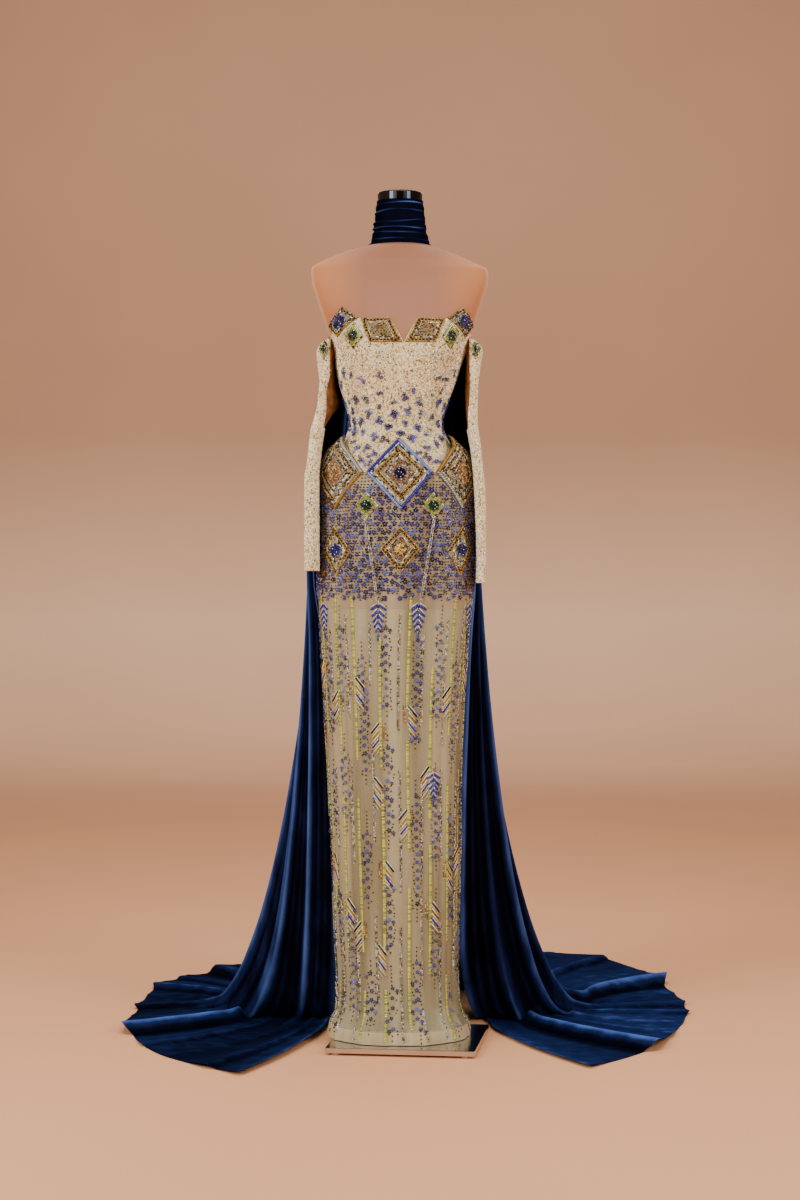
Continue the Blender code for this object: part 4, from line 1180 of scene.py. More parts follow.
# %% Tints
TINTS = {
    "violet": tone(44, 46, 118), "indigo": tone(20, 20, 68), "sky": tone(84, 98, 170),
    "blue": tone(8, 14, 150), "ice": tone(112, 136, 206), "navy": tone(8, 8, 64),
    "teal": tone(2, 50, 48), "leaf": tone(146, 160, 58), "lime": tone(212, 218, 92),
    "silver": tone(158, 162, 150), "crystal": tone(244, 244, 244), "gold": tone(178, 138, 56),
    "straw": tone(214, 190, 122), "orange": tone(186, 96, 14), "amber": tone(160, 112, 20),
    "brown": tone(44, 24, 12), "rust": tone(90, 50, 22), "black": tone(8, 6, 6), "cream": tone(252, 230, 174),
    "pearl": tone(255, 247, 212), "bronze": tone(140, 116, 70),
}


def tinted(count, *names, shares=None):
    """A random pick of tints for `count` beads."""
    picks = random.choice(len(names), count, p=shares)
    return np.array([TINTS[name] for name in names])[picks]


def varied(tints, amount=0.18):
    """The same tints, each bead a little lighter or darker."""
    made = np.array(tints, float)
    made[:, :3] *= 1 + random.uniform(-amount, amount, (len(made), 1))
    return made


def leaned(way, out_of, angle):
    """Directions within a surface, turned by an angle in it."""
    return way * np.cos(angle) + np.cross(out_of, way) * np.sin(angle)


def rolled(way, out_of):
    """Directions within a surface, each turned by lot."""
    return leaned(way, out_of, random.uniform(0, math.tau, len(way))[:, None])


# %% [markdown]
# ## Diamonds
# A diamond is a stiff patch with rows of beads following its edges. It is drawn flat, as seen straight on,
# and each flat point is then carried to the gown: its height stays, and the turn that shows it at the right
# place is found by halving. The patches at the hip bow out from the waist.

# %% Where the diamonds lie
# A patch's four corners, as degrees from the middle of the front and heights; `both` mirrors it to the left
Trim = namedtuple("Trim", "name turns heights finish both")
TRIMS = (
    Trim("neck_centre", (0.9, 27.0, 30.5, 8.8), (1.4745, 1.4745, 1.5270, 1.5270), "trim_gold", True),
    Trim("neck_green", (45.5, 51.5, 36.5, 31.5), (1.4620, 1.4955, 1.5185, 1.4870), "trim_green", True),
    Trim("neck_navy", (61.0, 70.0, 45.0, 32.2), (1.4900, 1.5140, 1.5535, 1.5280), "trim_navy", True),
    Trim("hip_centre", (0.0, 25.0, 0.0, -25.0), (1.1236, 1.2049, 1.2780, 1.2049), "trim_gold", False),
    Trim("hip_side", (51.0, 90.0, 70.0, 26.4), (1.1260, 1.2000, 1.2870, 1.2060), "trim_gold", True),
    Trim("hip_green", (23.0, 32.0, 23.0, 14.0), (1.1060, 1.1350, 1.1640, 1.1350), "trim_green", True),
    Trim("low_centre", (0.0, 13.0, 0.0, -13.0), (0.9922, 1.0443, 1.0923, 1.0443), "trim_gold", False),
    Trim("low_side", (49.0, 66.0, 52.0, 34.5), (0.9870, 1.0450, 1.0965, 1.0410), "trim_gold", True),
)
# The hip patches' bow: (height, how far they stand off there), growing between two turns
STAND_OFF = (
    (1.195, 0.0), (1.2146, 0.007), (1.236, 0.0155), (1.257, 0.0225), (1.2784, 0.0165), (1.2933, 0.006),
)
STAND_OFF_TURNS = (30.0, 62.0)
TRIM_GAP = 0.0005
PLATE_THICK = 0.00132
WIDEST_TURN = 75.0
HALVINGS = 26


def bowed(turn, height, out=0.0):
    """The gown's surface with the hip diamonds' bow away from the waist."""
    base = figure_point(turn, height, out)
    row = row_at(FIGURE, base[..., 2])
    x, y = base[..., 0] - AXIS[0] - row.shift, base[..., 1] - AXIS[1]
    outward = unit(stack(x / row.half_width**2, y / row.front**2, 0.0))
    round_it = np.degrees(np.arctan2(np.abs(x) / row.half_width, -y / row.front))
    grown = eased((round_it - STAND_OFF_TURNS[0]) / np.diff(STAND_OFF_TURNS)[0])
    bow = np.interp(base[..., 2], *zip(*STAND_OFF)) * grown
    return base + outward * bow[..., None]


class Diamond:
    """A flat outline seen along `facing`, and the way from its flat points to the surface that it lies on."""

    def __init__(self, surface, carried_by, turns, heights, facing, lift):
        self.surface, self.carried_by, self.lift = surface, carried_by, lift
        self.right = np.array([-facing[1], facing[0], 0.0])
        self.middle_turn = float(np.mean(turns))
        corners = carried_by(np.array(turns), np.array(heights), 0.0)
        self.corners = stack((corners - AXIS) @ self.right, np.array(heights), 0.0)[:, :2]
        twice = sum(np.cross(a, b) for a, b in zip(self.corners, np.roll(self.corners, -1, 0)))
        if twice < 0:
            self.corners = self.corners[::-1]
        self.centre = self.corners.mean(0)
        self.sides = np.roll(self.corners, -1, 0) - self.corners
        self.inward = unit(np.stack([-self.sides[:, 1], self.sides[:, 0]], -1))

    def turn_of(self, flat):
        """The turn that shows each flat point at its place, found by halving."""
        low = np.full(len(flat), self.middle_turn - WIDEST_TURN)
        high = np.full(len(flat), self.middle_turn + WIDEST_TURN)
        before, after = (self.carried_by(self.middle_turn + k, self.centre[1], 0.0) for k in (-1, 1))
        rising = (after - before) @ self.right > 0
        for _ in range(HALVINGS):
            half = (low + high) / 2
            across = (self.carried_by(half, flat[:, 1], 0.0) - AXIS) @ self.right
            short = (across < flat[:, 0]) == rising
            low, high = np.where(short, half, low), np.where(short, high, half)
        return (low + high) / 2

    def place(self, flat, out=0.0):
        """(places, directions round, directions out) of flat points."""
        return gown_frame(self.turn_of(flat), flat[:, 1], self.lift + out, self.surface)

    def inset(self, by):
        """The outline moved inwards by `by` metres, a corner for each side."""
        starts = self.corners + self.inward * by
        pairs = zip(np.roll(starts, 1, 0), starts, np.roll(self.sides, 1, 0), self.sides)
        return np.array([a + u * (np.cross(b - a, v) / np.cross(u, v)) for a, b, u, v in pairs])

    def reach(self):
        """How far the centre is from the nearest side."""
        return float(self.depth(self.centre[None])[0])

    def row(self, by, pitch):
        """Flat points along the inset outline with their flat directions and the number of their side."""
        outline = self.inset(by)
        points, ways, sides = [], [], []
        for number, (start, end) in enumerate(zip(outline, np.roll(outline, -1, 0))):
            length = np.linalg.norm(end - start)
            count = max(2, round(length / pitch))
            shares = (np.arange(count) + 0.5) / count
            points.append(start + (end - start) * shares[:, None])
            ways.append(np.tile((end - start) / length, (count, 1)))
            sides.append(np.full(count, number))
        return np.concatenate(points), np.concatenate(ways), np.concatenate(sides)

    def depth(self, flat):
        """How far flat points are inside the outline."""
        sides = zip(self.corners, self.inward)
        return np.min([((flat - start) * way).sum(1) for start, way in sides], axis=0)

    def inside(self, flat, margin):
        return self.depth(flat) > margin

    def quarters(self):
        """Which quarter each side lies in: UL, UR, LL or LR."""
        middles = (self.corners + np.roll(self.corners, -1, 0)) / 2 - self.centre
        return [("U" if z > 0 else "L") + ("R" if x > 0 else "L") for x, z in middles]

    def field(self, margin, pitch):
        """Staggered flat points that fill the outline inside a margin."""
        low, high = self.corners.min(0), self.corners.max(0)
        across = np.arange(low[0], high[0], pitch)
        up = np.arange(low[1], high[1], pitch * 0.87)
        x, z = np.meshgrid(across, up)
        x = x + (np.arange(len(up)) % 2)[:, None] * pitch / 2
        flat = np.stack([x.ravel(), z.ravel()], -1) + random.uniform(-0.16, 0.16, (x.size, 2)) * pitch
        return flat[self.inside(flat, margin)]


# %% [markdown]
# The ground of each patch is a thin plate cut to the outline. Its flat grid runs between the corners, so the
# plate's edges are the diamond's own, and it is carried to the gown like every bead on it.

# %% Plates of the diamonds
PLATE_STEPS = 13
# How far in from the edge the middle's own colour starts
INNER = {
    "hip_centre": 0.029, "hip_side": 0.030, "low_centre": 0.015, "low_side": 0.015, "neck_centre": 0.0118,
    "neck_navy": 0.0085, "green": 0.003,
}


def family_of(name):
    """A diamond's name without its side."""
    return name.removesuffix("_l").removesuffix("_r")


def recipe_of(name):
    return "green" if "green" in name else family_of(name)


diamonds = {}
for trim in TRIMS:
    for end, side in (("_r", 1), ("_l", -1)) if trim.both else (("", 1),):
        turns = [FRONT_TURN + side * turn for turn in trim.turns]
        middle, centre = sum(turns) / 4, sum(trim.heights) / 4
        facing = unit(figure_point(middle, centre, 0.1) - figure_point(middle, centre, 0.0))
        surface = bowed if trim.name == "hip_side" else figure_point
        lift = GOWN_OUT + TRIM_GAP
        diamonds[trim.name + end] = Diamond(surface, figure_point, turns, trim.heights, facing, lift)
# The sleeves' patches: (angle round the sleeve in radians, height)
SLEEVE_TRIM = ((0.02, 1.4430), (0.80, 1.4690), (0.02, 1.4850), (-0.70, 1.4690))
for side, outward in (("l", -1), ("r", 1)):
    surface = sleeve_surface(side)
    turns = [math.degrees(angle) for angle, _ in SLEEVE_TRIM]
    heights = [height for _, height in SLEEVE_TRIM]
    facing = unit(np.array([0.25 * outward, -1.0, 0.0]))
    diamonds[f"sleeve_green_{side}"] = Diamond(surface, surface, turns, heights, facing, 0.0008)

finish_of = {trim.name: trim.finish for trim in TRIMS}
steps = np.linspace(0, 1, PLATE_STEPS)
u, v = (way.ravel()[:, None] for way in np.meshgrid(steps, steps))
for name, diamond in diamonds.items():
    a, b, c, d = diamond.corners
    flat = (a * (1 - u) + b * u) * (1 - v) + (d * (1 - u) + c * u) * v
    grid = diamond.place(flat, PLATE_THICK)[0].reshape(PLATE_STEPS, PLATE_STEPS, 3)
    inner = np.clip((diamond.depth(flat) - INNER[recipe_of(name)]) / 0.0015, 0, 1)
    holder = "skirt_front_cloth" if name.startswith(("low", "hip")) else "bodice_front_cloth"
    if name.startswith("sleeve"):
        holder = f"sleeve_{name[-1]}_cloth"
    finish = finish_of.get(family_of(name), "trim_green")
    cloth(name, grid, PLATE_THICK, finish, "laid", holder, inner=inner)

# %% [markdown]
# ## Rows, fields and flowers on the diamonds
# Each kind of diamond has a recipe: rows of beads from the edge inwards, then a field of mixed seeds, and a
# flower of long beads in the middle. Rows of round beads are strung along the edge, and bugles lie across it
# or along it. The recipe keeps real bead sizes, so a small diamond simply has room for fewer rows.

# %% Recipes
# A row's distance in from the edge, its beads, how far apart they are and how many degrees they slant
Row = namedtuple("Row", "inset kind width length pitch tints slant")
DOTS = {"gold": 50, "black": 50}
GOLDS = {"gold": 62, "straw": 24, "rust": 14}
SILVERS = {"silver": 50, "crystal": 18, "straw": 14, "black": 18}


def rope(inset):
    return Row(inset, "bugle", 0.0034, 0.0084, 0.0047, None, 34)


def line(inset, tints):
    return Row(inset, "bugle", 0.0019, 0.0052, 0.0054, tints, 0)


def dots(inset, size=0.0034):
    return Row(inset, "seed", size, size, 0.0035, DOTS, 0)


LOW_ROWS = (
    line(0.0018, GOLDS), dots(0.0048), line(0.0078, GOLDS), line(0.0106, SILVERS), line(0.0132, SILVERS),
)
RECIPES = {
    "hip_centre": (
        rope(0.0032), line(0.0078, SILVERS), line(0.0103, SILVERS), line(0.0128, SILVERS),
        line(0.0156, GOLDS), dots(0.0187), line(0.0217, GOLDS), line(0.0247, SILVERS), line(0.0272, SILVERS),
    ),
    "hip_side": (
        rope(0.0032), line(0.0076, SILVERS), line(0.0100, SILVERS), dots(0.0132), line(0.0163, GOLDS),
        line(0.0190, SILVERS), line(0.0215, SILVERS), dots(0.0247), line(0.0280, SILVERS),
    ),
    "low_centre": LOW_ROWS,
    "low_side": LOW_ROWS,
    "neck_centre": (line(0.0018, GOLDS), dots(0.0047), line(0.0076, GOLDS), line(0.0103, SILVERS)),
    "neck_navy": (line(0.0015, GOLDS), dots(0.0043, 0.0030), line(0.0070, SILVERS)),
    "green": (
        line(0.0014, SILVERS), Row(0.0042, "seed", 0.0028, 0.0028, 0.0030, {"lime": 70, "leaf": 30}, 0),
    ),
}
# The ropes' tints by quarter: upper or lower, left or right
ROPES = {
    "hip_centre": {"UL": "blue", "LR": "blue", "UR": "ice", "LL": "ice"},
    "hip_side_l": {"LR": "amber", "UR": "silver", "UL": "rust", "LL": "rust"},
    "hip_side_r": {"UL": "amber", "LL": "silver", "UR": "rust", "LR": "rust"},
}
# (distance in from the edge, pitch, palette)
FIELDS = {
    "hip_centre": (0.0300, 0.0042, {"indigo": 30, "orange": 16, "rust": 18, "crystal": 16, "black": 20}),
    "hip_side": (
        0.0305, 0.0033, {"orange": 24, "amber": 22, "straw": 18, "cream": 10, "rust": 16, "brown": 10},
    ),
    "low_centre": (0.0155, 0.0031, {"gold": 24, "rust": 18, "silver": 32, "orange": 8, "black": 18}),
    "low_side": (0.0155, 0.0031, {"silver": 52, "lime": 20, "teal": 28}),
    "neck_centre": (0.0125, 0.0030, {"orange": 16, "silver": 32, "gold": 14, "black": 20, "leaf": 18}),
    "neck_navy": (0.0095, 0.0030, {"silver": 70, "ice": 20, "black": 10}),
    "green": (0.0066, 0.0029, {"leaf": 42, "lime": 38, "silver": 12, "teal": 8}),
}
# (radius, tints)
FLOWERS = {
    "hip_centre": (0.0115, ("navy", "black", "indigo")),
    "low_side": (0.0130, ("navy", "blue", "navy", "teal")),
    "low_centre": (0.0110, ("straw", "gold", "rust")),
    "neck_navy": (0.0150, ("navy", "navy", "blue")),
    "green": (0.0100, ("teal", "teal", "black")),
}


def picked(count, palette):
    """Tints by lot from a palette of {tint: parts in all}."""
    shares = np.array(list(palette.values()), float)
    return tinted(count, *palette, shares=shares / shares.sum())


# %% Collect the beads of all diamonds
Cloud = namedtuple("Cloud", "places along out_of tints size")
SIZE_OF_SEED = 0.0030
NUDGE = 0.0004
FLOWER_BEADS = 56
GOLDEN_ANGLE = 2.399963
clouds = {}


def gather(group, places, along, out_of, tints, size=1.0):
    """Adds beads to a named group, which later becomes one piece."""
    size = np.broadcast_to(np.asarray(size, float), (len(places),))
    clouds.setdefault(group, []).append(Cloud(places, along, out_of, np.asarray(tints, float), size))


def set_group(group, kind, width, length, **more):
    """Sets all beads of a named group as one piece."""
    parts = [np.concatenate(column) for column in zip(*clouds.pop(group))]
    set_beads(group, kind, width, length, *parts, **more)


def lay_row(name, diamond, row):
    """One row of beads: a rope takes its tints by quarter, and dots are gold and black by turns."""
    flat, ways, sides = diamond.row(row.inset, row.pitch)
    lift = PLATE_THICK + row.width * 0.4
    here, _, out_of = diamond.place(flat, lift)
    ahead = diamond.place(flat + ways * NUDGE, lift)[0]
    along = leaned(unit(ahead - here), out_of, math.radians(row.slant))
    group = f"diamond_{row.kind}s"
    size = row.length / SIZE_OF_SEED if row.kind == "seed" else 1.0
    if row.tints is None:
        group, quarters = "diamond_ropes", diamond.quarters()
        tints = np.array([TINTS[ROPES[name][quarters[number]]] for number in sides])
    elif row.tints == DOTS:
        odd = np.arange(len(flat)) % 2
        tints = np.array([TINTS["black" if i else "gold"] for i in odd])
        size = size * np.where(odd, 1.25, 0.8)
    else:
        tints = picked(len(flat), row.tints)
    gather(group, here, along, out_of, varied(tints, 0.12), size)


def lay_field(diamond, margin, pitch, palette, heart):
    """Mixed seeds over the middle, round the flower."""
    flat = diamond.field(margin, pitch)
    flat = flat[np.linalg.norm(flat - diamond.centre, axis=1) > heart * 0.85]
    here, around, out_of = diamond.place(flat, PLATE_THICK + 0.0010)
    gather("diamond_seeds", here, around, out_of, varied(picked(len(flat), palette)))


def lay_flower(diamond, heart, petals):
    """Long beads that point outwards from the centre in a close spiral, with a few glints on them."""
    number = np.arange(FLOWER_BEADS)
    angles, radii = number * GOLDEN_ANGLE, heart * np.sqrt((number + 0.4) / FLOWER_BEADS)
    flat = diamond.centre + np.stack([np.cos(angles) * radii, np.sin(angles) * radii], -1)
    flat = flat[diamond.inside(flat, 0.0055)]
    outwards = unit(flat - diamond.centre + 1e-6)
    here, _, out_of = diamond.place(flat, PLATE_THICK + 0.0024)
    ahead = diamond.place(flat + outwards * NUDGE, PLATE_THICK + 0.0024)[0]
    gather("diamond_petals", here, unit(ahead - here), out_of, varied(tinted(len(flat), *petals)))
    glints = flat[::9] + 0.0012
    here, around, out_of = diamond.place(glints, PLATE_THICK + 0.0042)
    gather("diamond_seeds", here, around, out_of, tinted(len(glints), "crystal", "orange"), 0.8)


for name, diamond in diamonds.items():
    key = recipe_of(name)
    heart, petals = FLOWERS.get(key, (0.0, ()))
    for row in RECIPES[key]:
        if row.inset <= diamond.reach() - 0.002:
            lay_row(name, diamond, row)
    if FIELDS[key][0] < diamond.reach() - 0.003:
        lay_field(diamond, *FIELDS[key], heart)
    if heart:
        lay_flower(diamond, heart, petals)

set_group("diamond_seeds", "seed", SIZE_OF_SEED, SIZE_OF_SEED, lined=0.15, seed=2)
set_group("diamond_bugles", "bugle", 0.0021, 0.0052, lined=0.35, seed=3, uneven=0.04)
set_group("diamond_ropes", "bugle", 0.0034, 0.0078, lined=0.1, seed=4, uneven=0.04)
set_group("diamond_petals", "seed", 0.0032, 0.0062, lined=0.05, seed=5)

# %% [markdown]
# ## Close beading on bodice and sleeves
# The beads are sewn in rows a bead apart, each a little off its place. Along a row they are spaced by the
# real distance round the body, not by the angle, so that they don't crowd at the sides of the oval.

# %% Sew the carpets
CARPET_PITCH = 0.0033
CARPET_TINTS = {"cream": 0.22, "pearl": 0.41, "straw": 0.13, "crystal": 0.13, "bronze": 0.10, "brown": 0.01}


def even_row(surface, height, start, end, pitch):
    """Turns along one row, `pitch` metres apart on the surface."""
    fine = np.linspace(start, end, 160)
    line = surface(fine, height, GOWN_OUT)
    run = np.concatenate([[0.0], np.cumsum(np.linalg.norm(np.diff(line, axis=0), axis=1))])
    count = max(2, int(run[-1] / pitch))
    return np.interp((np.arange(count) + random.uniform(0.2, 0.8)) * run[-1] / count, run, fine)


def carpet(name, surface, low, top, start, end, out, covered):
    """Close beads from `low` to the top edge, whose height depends on the turn; more bronze beads beside the
    bust, as painted shade.
    """
    turns, heights = [], []
    highest = float(np.max(top(np.linspace(start, end, 400))))
    for height in np.arange(low + 0.0016, highest, CARPET_PITCH * 0.88):
        row = even_row(surface, height, start, end, CARPET_PITCH)
        turns.append(row)
        heights.append(np.full(len(row), height) + random.uniform(-0.0006, 0.0006, len(row)))
    turn, height = np.concatenate(turns), np.concatenate(heights)
    keep = (height < top(turn) - 0.0012) & ~covered(turn, height)
    turn, height = turn[keep], height[keep]
    here, around, out_of = gown_frame(turn, height, out + 0.0006, surface)
    along = rolled(around, out_of)
    # Painted shade: beside the bust, at the height of its peak, some beads are made bronze.
    side, bust_line = np.abs(here[:, 0] - AXIS[0]), height - BUST_AT[1] - 0.007
    shaded = hump(side - 0.085, 0.03) * hump(bust_line, 0.018)
    painted_bust_shade = random.uniform(0, 1, len(turn)) < 0.3 * shaded
    tints = tinted(len(turn), *CARPET_TINTS, shares=tuple(CARPET_TINTS.values()))
    tints[painted_bust_shade] = TINTS["bronze"]
    gather(name, here, along, out_of, varied(tints, 0.25), random.uniform(0.85, 1.15, len(turn)))
    set_group(name, "seed", 0.0031, 0.0036, lined=0.06, seed=21)


# %% [markdown]
# ## Blossoms and bead rows
# Tiny blossoms of five petals are scattered over the waist, thin at first and close together at the hip, and
# small brown beads run round the hips in rows under them. A scatter that keeps a least distance looks sewn
# by hand. Nothing is set where a diamond lies.

# %% Scatter the blossoms
BLOSSOM_LIFT = 0.0022
WAIST_LIFT = 0.0038
WAIST = (1.212, 1.420)
HIP = (0.941, 1.176)


def in_diamonds(turn, height, margin=0.0024):
    """Which places on the gown lie under a diamond."""
    covered = np.zeros(len(turn), bool)
    places = figure_point(turn, height, 0.0)
    for name, diamond in diamonds.items():
        if name.startswith("sleeve"):
            continue
        near = np.abs((turn - diamond.middle_turn + 180) % 360 - 180) < 70
        flat = np.stack([(places - AXIS) @ diamond.right, height], -1)
        covered |= near & diamond.inside(flat, -margin)
    return covered


def scatter(heights, chance, spacing, tries):
    """Turns and heights of points that keep `spacing` metres apart, thinned by `chance` of each height."""
    turn = random.uniform(-180, 180, tries)
    height = random.uniform(*heights, tries)
    keep = (random.uniform(0, 1, tries) < chance(height)) & ~in_diamonds(turn, height)
    turn, height = turn[keep], height[keep]
    places = figure_point(turn, height, 0.0)
    cells, kept = {}, []
    for i, place in enumerate(places):
        cell = tuple((place // spacing).astype(int))
        near = (
            j for dx in (-1, 0, 1) for dy in (-1, 0, 1) for dz in (-1, 0, 1)
            for j in cells.get((cell[0] + dx, cell[1] + dy, cell[2] + dz), ())
        )
        if all(((places[j] - place) ** 2).sum() > spacing * spacing for j in near):
            cells.setdefault(cell, []).append(i)
            kept.append(i)
    return turn[kept], height[kept]


def bloom(group, turn, height, surface, lift):
    """Gathers blossoms, each turned by lot."""
    here, around, out_of = gown_frame(turn, height, lift, surface)
    along = rolled(around, out_of)
    tints = tinted(len(turn), "violet", "indigo", "sky", shares=(0.50, 0.28, 0.22))
    gather(group, here, along, out_of, varied(tints, 0.3), random.uniform(0.85, 1.15, len(turn)))


carpet("bodice_beads_front", figure_point, HIP_SEAM_Z, neckline, -90.0, 95.0, GOWN_OUT, in_diamonds)
carpet("bodice_beads_back", figure_point, HIP_SEAM_Z, neckline, 95.0, 270.0, GOWN_OUT, in_diamonds)
for side in "lr":
    low = SLEEVES[side][0].height
    # No beads go on the strip of sleeve that is painted brown as shade.
    carpet(f"sleeve_beads_{side}", sleeve_surface(side), low, sleeve_top, 0.0, 360.0, 0.0, in_shaded_strip)

turn, height = scatter(WAIST, lambda z: 0.03 + 0.97 * np.clip((1.385 - z) / 0.10, 0, 1) ** 1.6, 0.021, 5000)
petals = [(turn, height)]
for step in range(4):
    angle = step * math.tau / 4 + random.uniform(-0.5, 0.5, len(turn))
    away = random.uniform(0.0055, 0.0075, len(turn))
    joined = random.uniform(0, 1, len(turn)) < np.clip((1.40 - height) / 0.10, 0.45, 0.8)
    wide = turn + np.degrees(np.cos(angle) * away / 0.11)
    petals.append((wide[joined], (height + np.sin(angle) * away)[joined]))
turn, height = (np.concatenate(column) for column in zip(*petals))
keep = ~in_diamonds(turn, height) & (height > 1.210)
bloom("waist_blossoms", turn[keep], height[keep], figure_point, GOWN_OUT + WAIST_LIFT)
turn, height = scatter(
    HIP, lambda z: np.clip((z - 0.942) / 0.045, 0.06, 1) * np.clip((1.180 - z) / 0.045, 0.12, 1),
    0.0102, 40000,
)
bloom("hip_blossoms", turn, height, skirt_surface, BLOSSOM_LIFT)
set_group("waist_blossoms", "blossom", 0.0031, 0.0094, lined=0.1, seed=6)
set_group("hip_blossoms", "blossom", 0.0036, 0.0108, lined=0.1, seed=7)

# %% Rows of small brown beads round the hips
ROW_PITCH = 0.0062
for number, height in enumerate(np.arange(0.938, 1.200, ROW_PITCH)):
    start = random.uniform(0, 2)
    turn = np.arange(-180 + start, 180, 2.7) + random.uniform(-0.3, 0.3)
    wander = height + 0.0010 * np.sin(np.radians(turn) * 7 + number)
    fading = random.uniform(0, 1, len(turn)) < np.clip((height - 0.930) / 0.04, 0.10, 1) * 0.93
    keep = fading & ~in_diamonds(turn, wander, 0.001)
    here, around, out_of = gown_frame(turn[keep], wander[keep], 0.0009, skirt_surface)
    tints = tinted(keep.sum(), "brown", "rust", shares=(0.8, 0.2))
    gather("hip_rows", here, around, out_of, varied(tints, 0.3))
set_group("hip_rows", "seed", 0.0034, 0.0052, lined=0.05, seed=8)

# %% [markdown]
# ## Strands, trails, sprays and feathers on the skirt
# Below the hips the net carries upright lines in a repeating order round the skirt: a leaf-green strand, a
# trail of blossoms and a silver strand. A green strand is a ladder of short bugles. Slanted bugles branch
# from it like half a leaf, black first, then gold and blue. Where each line starts and stops is drawn by lot.

# %% Upright lines
COLUMNS = 18
DOT_TINTS = ("brown", "brown", "rust")
STEM_STEP = 0.0034


def line_of(turn, top, bottom, pitch, sway=0.5):
    """Turns and heights down a strand, with a slight sway."""
    height = np.linspace(top, bottom, max(2, int((top - bottom) / pitch)))
    return turn + sway * np.sin(height * 11 + turn), height


def shifted(turn, height, across):
    """The turns that lie `across` metres further round the skirt."""
    span = skirt_surface(turn + 0.5, height) - skirt_surface(turn - 0.5, height)
    return turn + across / np.linalg.norm(span, axis=-1)


def lay_line(group, turn, height, tints, across=0.0, lift=0.0012, upright=True):
    """Gathers beads one under another, set upright or as rungs."""
    here, around, out_of = gown_frame(shifted(turn, height, across), height, lift, skirt_surface)
    along = np.cross(out_of, around) if upright else around
    gather(group, here, along, out_of, varied(tints))


def dotted(turn, top, count):
    """A few brown dots in line, below `top`; the height where they end."""
    turns, heights = line_of(turn, top, top - count * 0.0066, 0.0060)
    lay_line("brown_dots", turns, heights, tinted(len(turns), *DOT_TINTS))
    return heights[-1] - 0.006


def trail(turn, top, bottom):
    """Blossoms one under another, some in threes, with brown dots on both sides."""
    turns, heights = line_of(turn, top, bottom, 0.0150)
    turns = turns + random.uniform(-0.8, 0.8, len(turns))
    bloom("skirt_blossoms", turns, heights, skirt_surface, BLOSSOM_LIFT)
    for across in (-0.0085, 0.0085):
        bunch = random.uniform(0, 1, len(turns)) < 0.28
        lower = heights[bunch] - 0.005
        bloom("skirt_blossoms", shifted(turns[bunch], lower, across), lower, skirt_surface, BLOSSOM_LIFT)
        for drop in (0.004, 0.0105):
            keep = random.uniform(0, 1, len(turns)) < 0.8
            beside = across * random.uniform(0.75, 1.15, keep.sum())
            lay_line("brown_dots", turns[keep], heights[keep] - drop, tinted(keep.sum(), *DOT_TINTS), beside)


bars = []


def bar(group, turn, height, across, up, lean, tint, size):
    """One long bugle; `lean` is its slant from upright in degrees, `across` and `up` its middle's place."""
    bars.append((group, turn, height, across, up, lean, size, tint))


def spray(turn, top, side):
    """Half a leaf of slanted bugles beside a strand: each goes down and outwards from it."""
    lean = 39
    slant, edge = math.radians(lean), 0.0031
    for step, (group, tint, length) in enumerate((
        ("spray_bars", "black", 1.0), ("spray_thin", "straw", 0.95), ("spray_thin", "straw", 1.0),
        ("spray_bars", "blue", 0.85), ("spray_thin", "straw", 0.9), ("spray_thin", "silver", 0.65),
    )):
        reach = 0.0128 * length
        across, up = side * (0.003 + reach * math.sin(slant)), -step * 0.0112 - reach * math.cos(slant)
        bar(group, turn, top, across, up, -lean * side, tint, length)
        for beside in (-edge, edge) if group == "spray_bars" else ():
            away, above = across + beside * math.cos(slant), up + beside * side * math.sin(slant)
            bar("spray_edges", turn, top, away, above, -lean * side, "pearl", length)


def feather(turn, top, size=1.0):
    """A drooping feather: pairs of blue bugles from a stem, widest at the top, ending in one at the tip."""
    for step, (lean, length) in enumerate(((56, 1.0), (46, 0.98), (40, 0.9), (34, 0.78), (26, 0.62))):
        for side in (-1, 1):
            reach = (0.0088 * length + 0.0020) * size
            slant = math.radians(lean)
            across, up = side * reach * math.sin(slant), -step * 0.0116 * size - reach * math.cos(slant)
            over = up + 0.0056 * size
            bar("feather_bars", turn, top, across, up, -lean * side, "blue", length * size)
            bar("feather_edges", turn, top, across, over, -lean * side, "crystal", length * size)
    bar("feather_bars", turn, top, 0.0, -0.0690 * size, 0, "blue", 0.8 * size)
    turns, heights = line_of(turn, top + 0.003, top - 0.064 * size, STEM_STEP, 0.0)
    lay_line("silver_stems", turns, heights, tinted(len(turns), "silver", "black", "crystal"))


def green_line(turn, top):
    """Green ladders one below another, each with sprays and amber fringes on alternate sides."""
    side = 1 if random.uniform() < 0.5 else -1
    while top > 0.10:
        bottom = max(HEM_Z + 0.004, top - random.uniform(0.20, 0.36))
        turns, heights = line_of(turn, top, bottom, 0.0029)
        tints = tinted(len(turns), "lime", "leaf", "straw", shares=(0.62, 0.26, 0.12))
        lay_line("green_strands", turns, heights, tints, upright=False)
        at = top - random.uniform(0.10, 0.26)
        while at > bottom - 0.02 and at > 0.10:
            spray(turn + 0.5 * math.sin(at * 11 + turn), at, side)
            fringe = at - np.arange(9) * 0.0042
            for across in (-0.0055, -0.0095):
                tints = tinted(9, "orange", "rust", "straw")
                lay_line("amber_beads", np.full(9, turn), fringe, tints, side * across)
            side = -side
            at -= random.uniform(0.22, 0.40)
        top = bottom - random.uniform(0.05, 0.17)


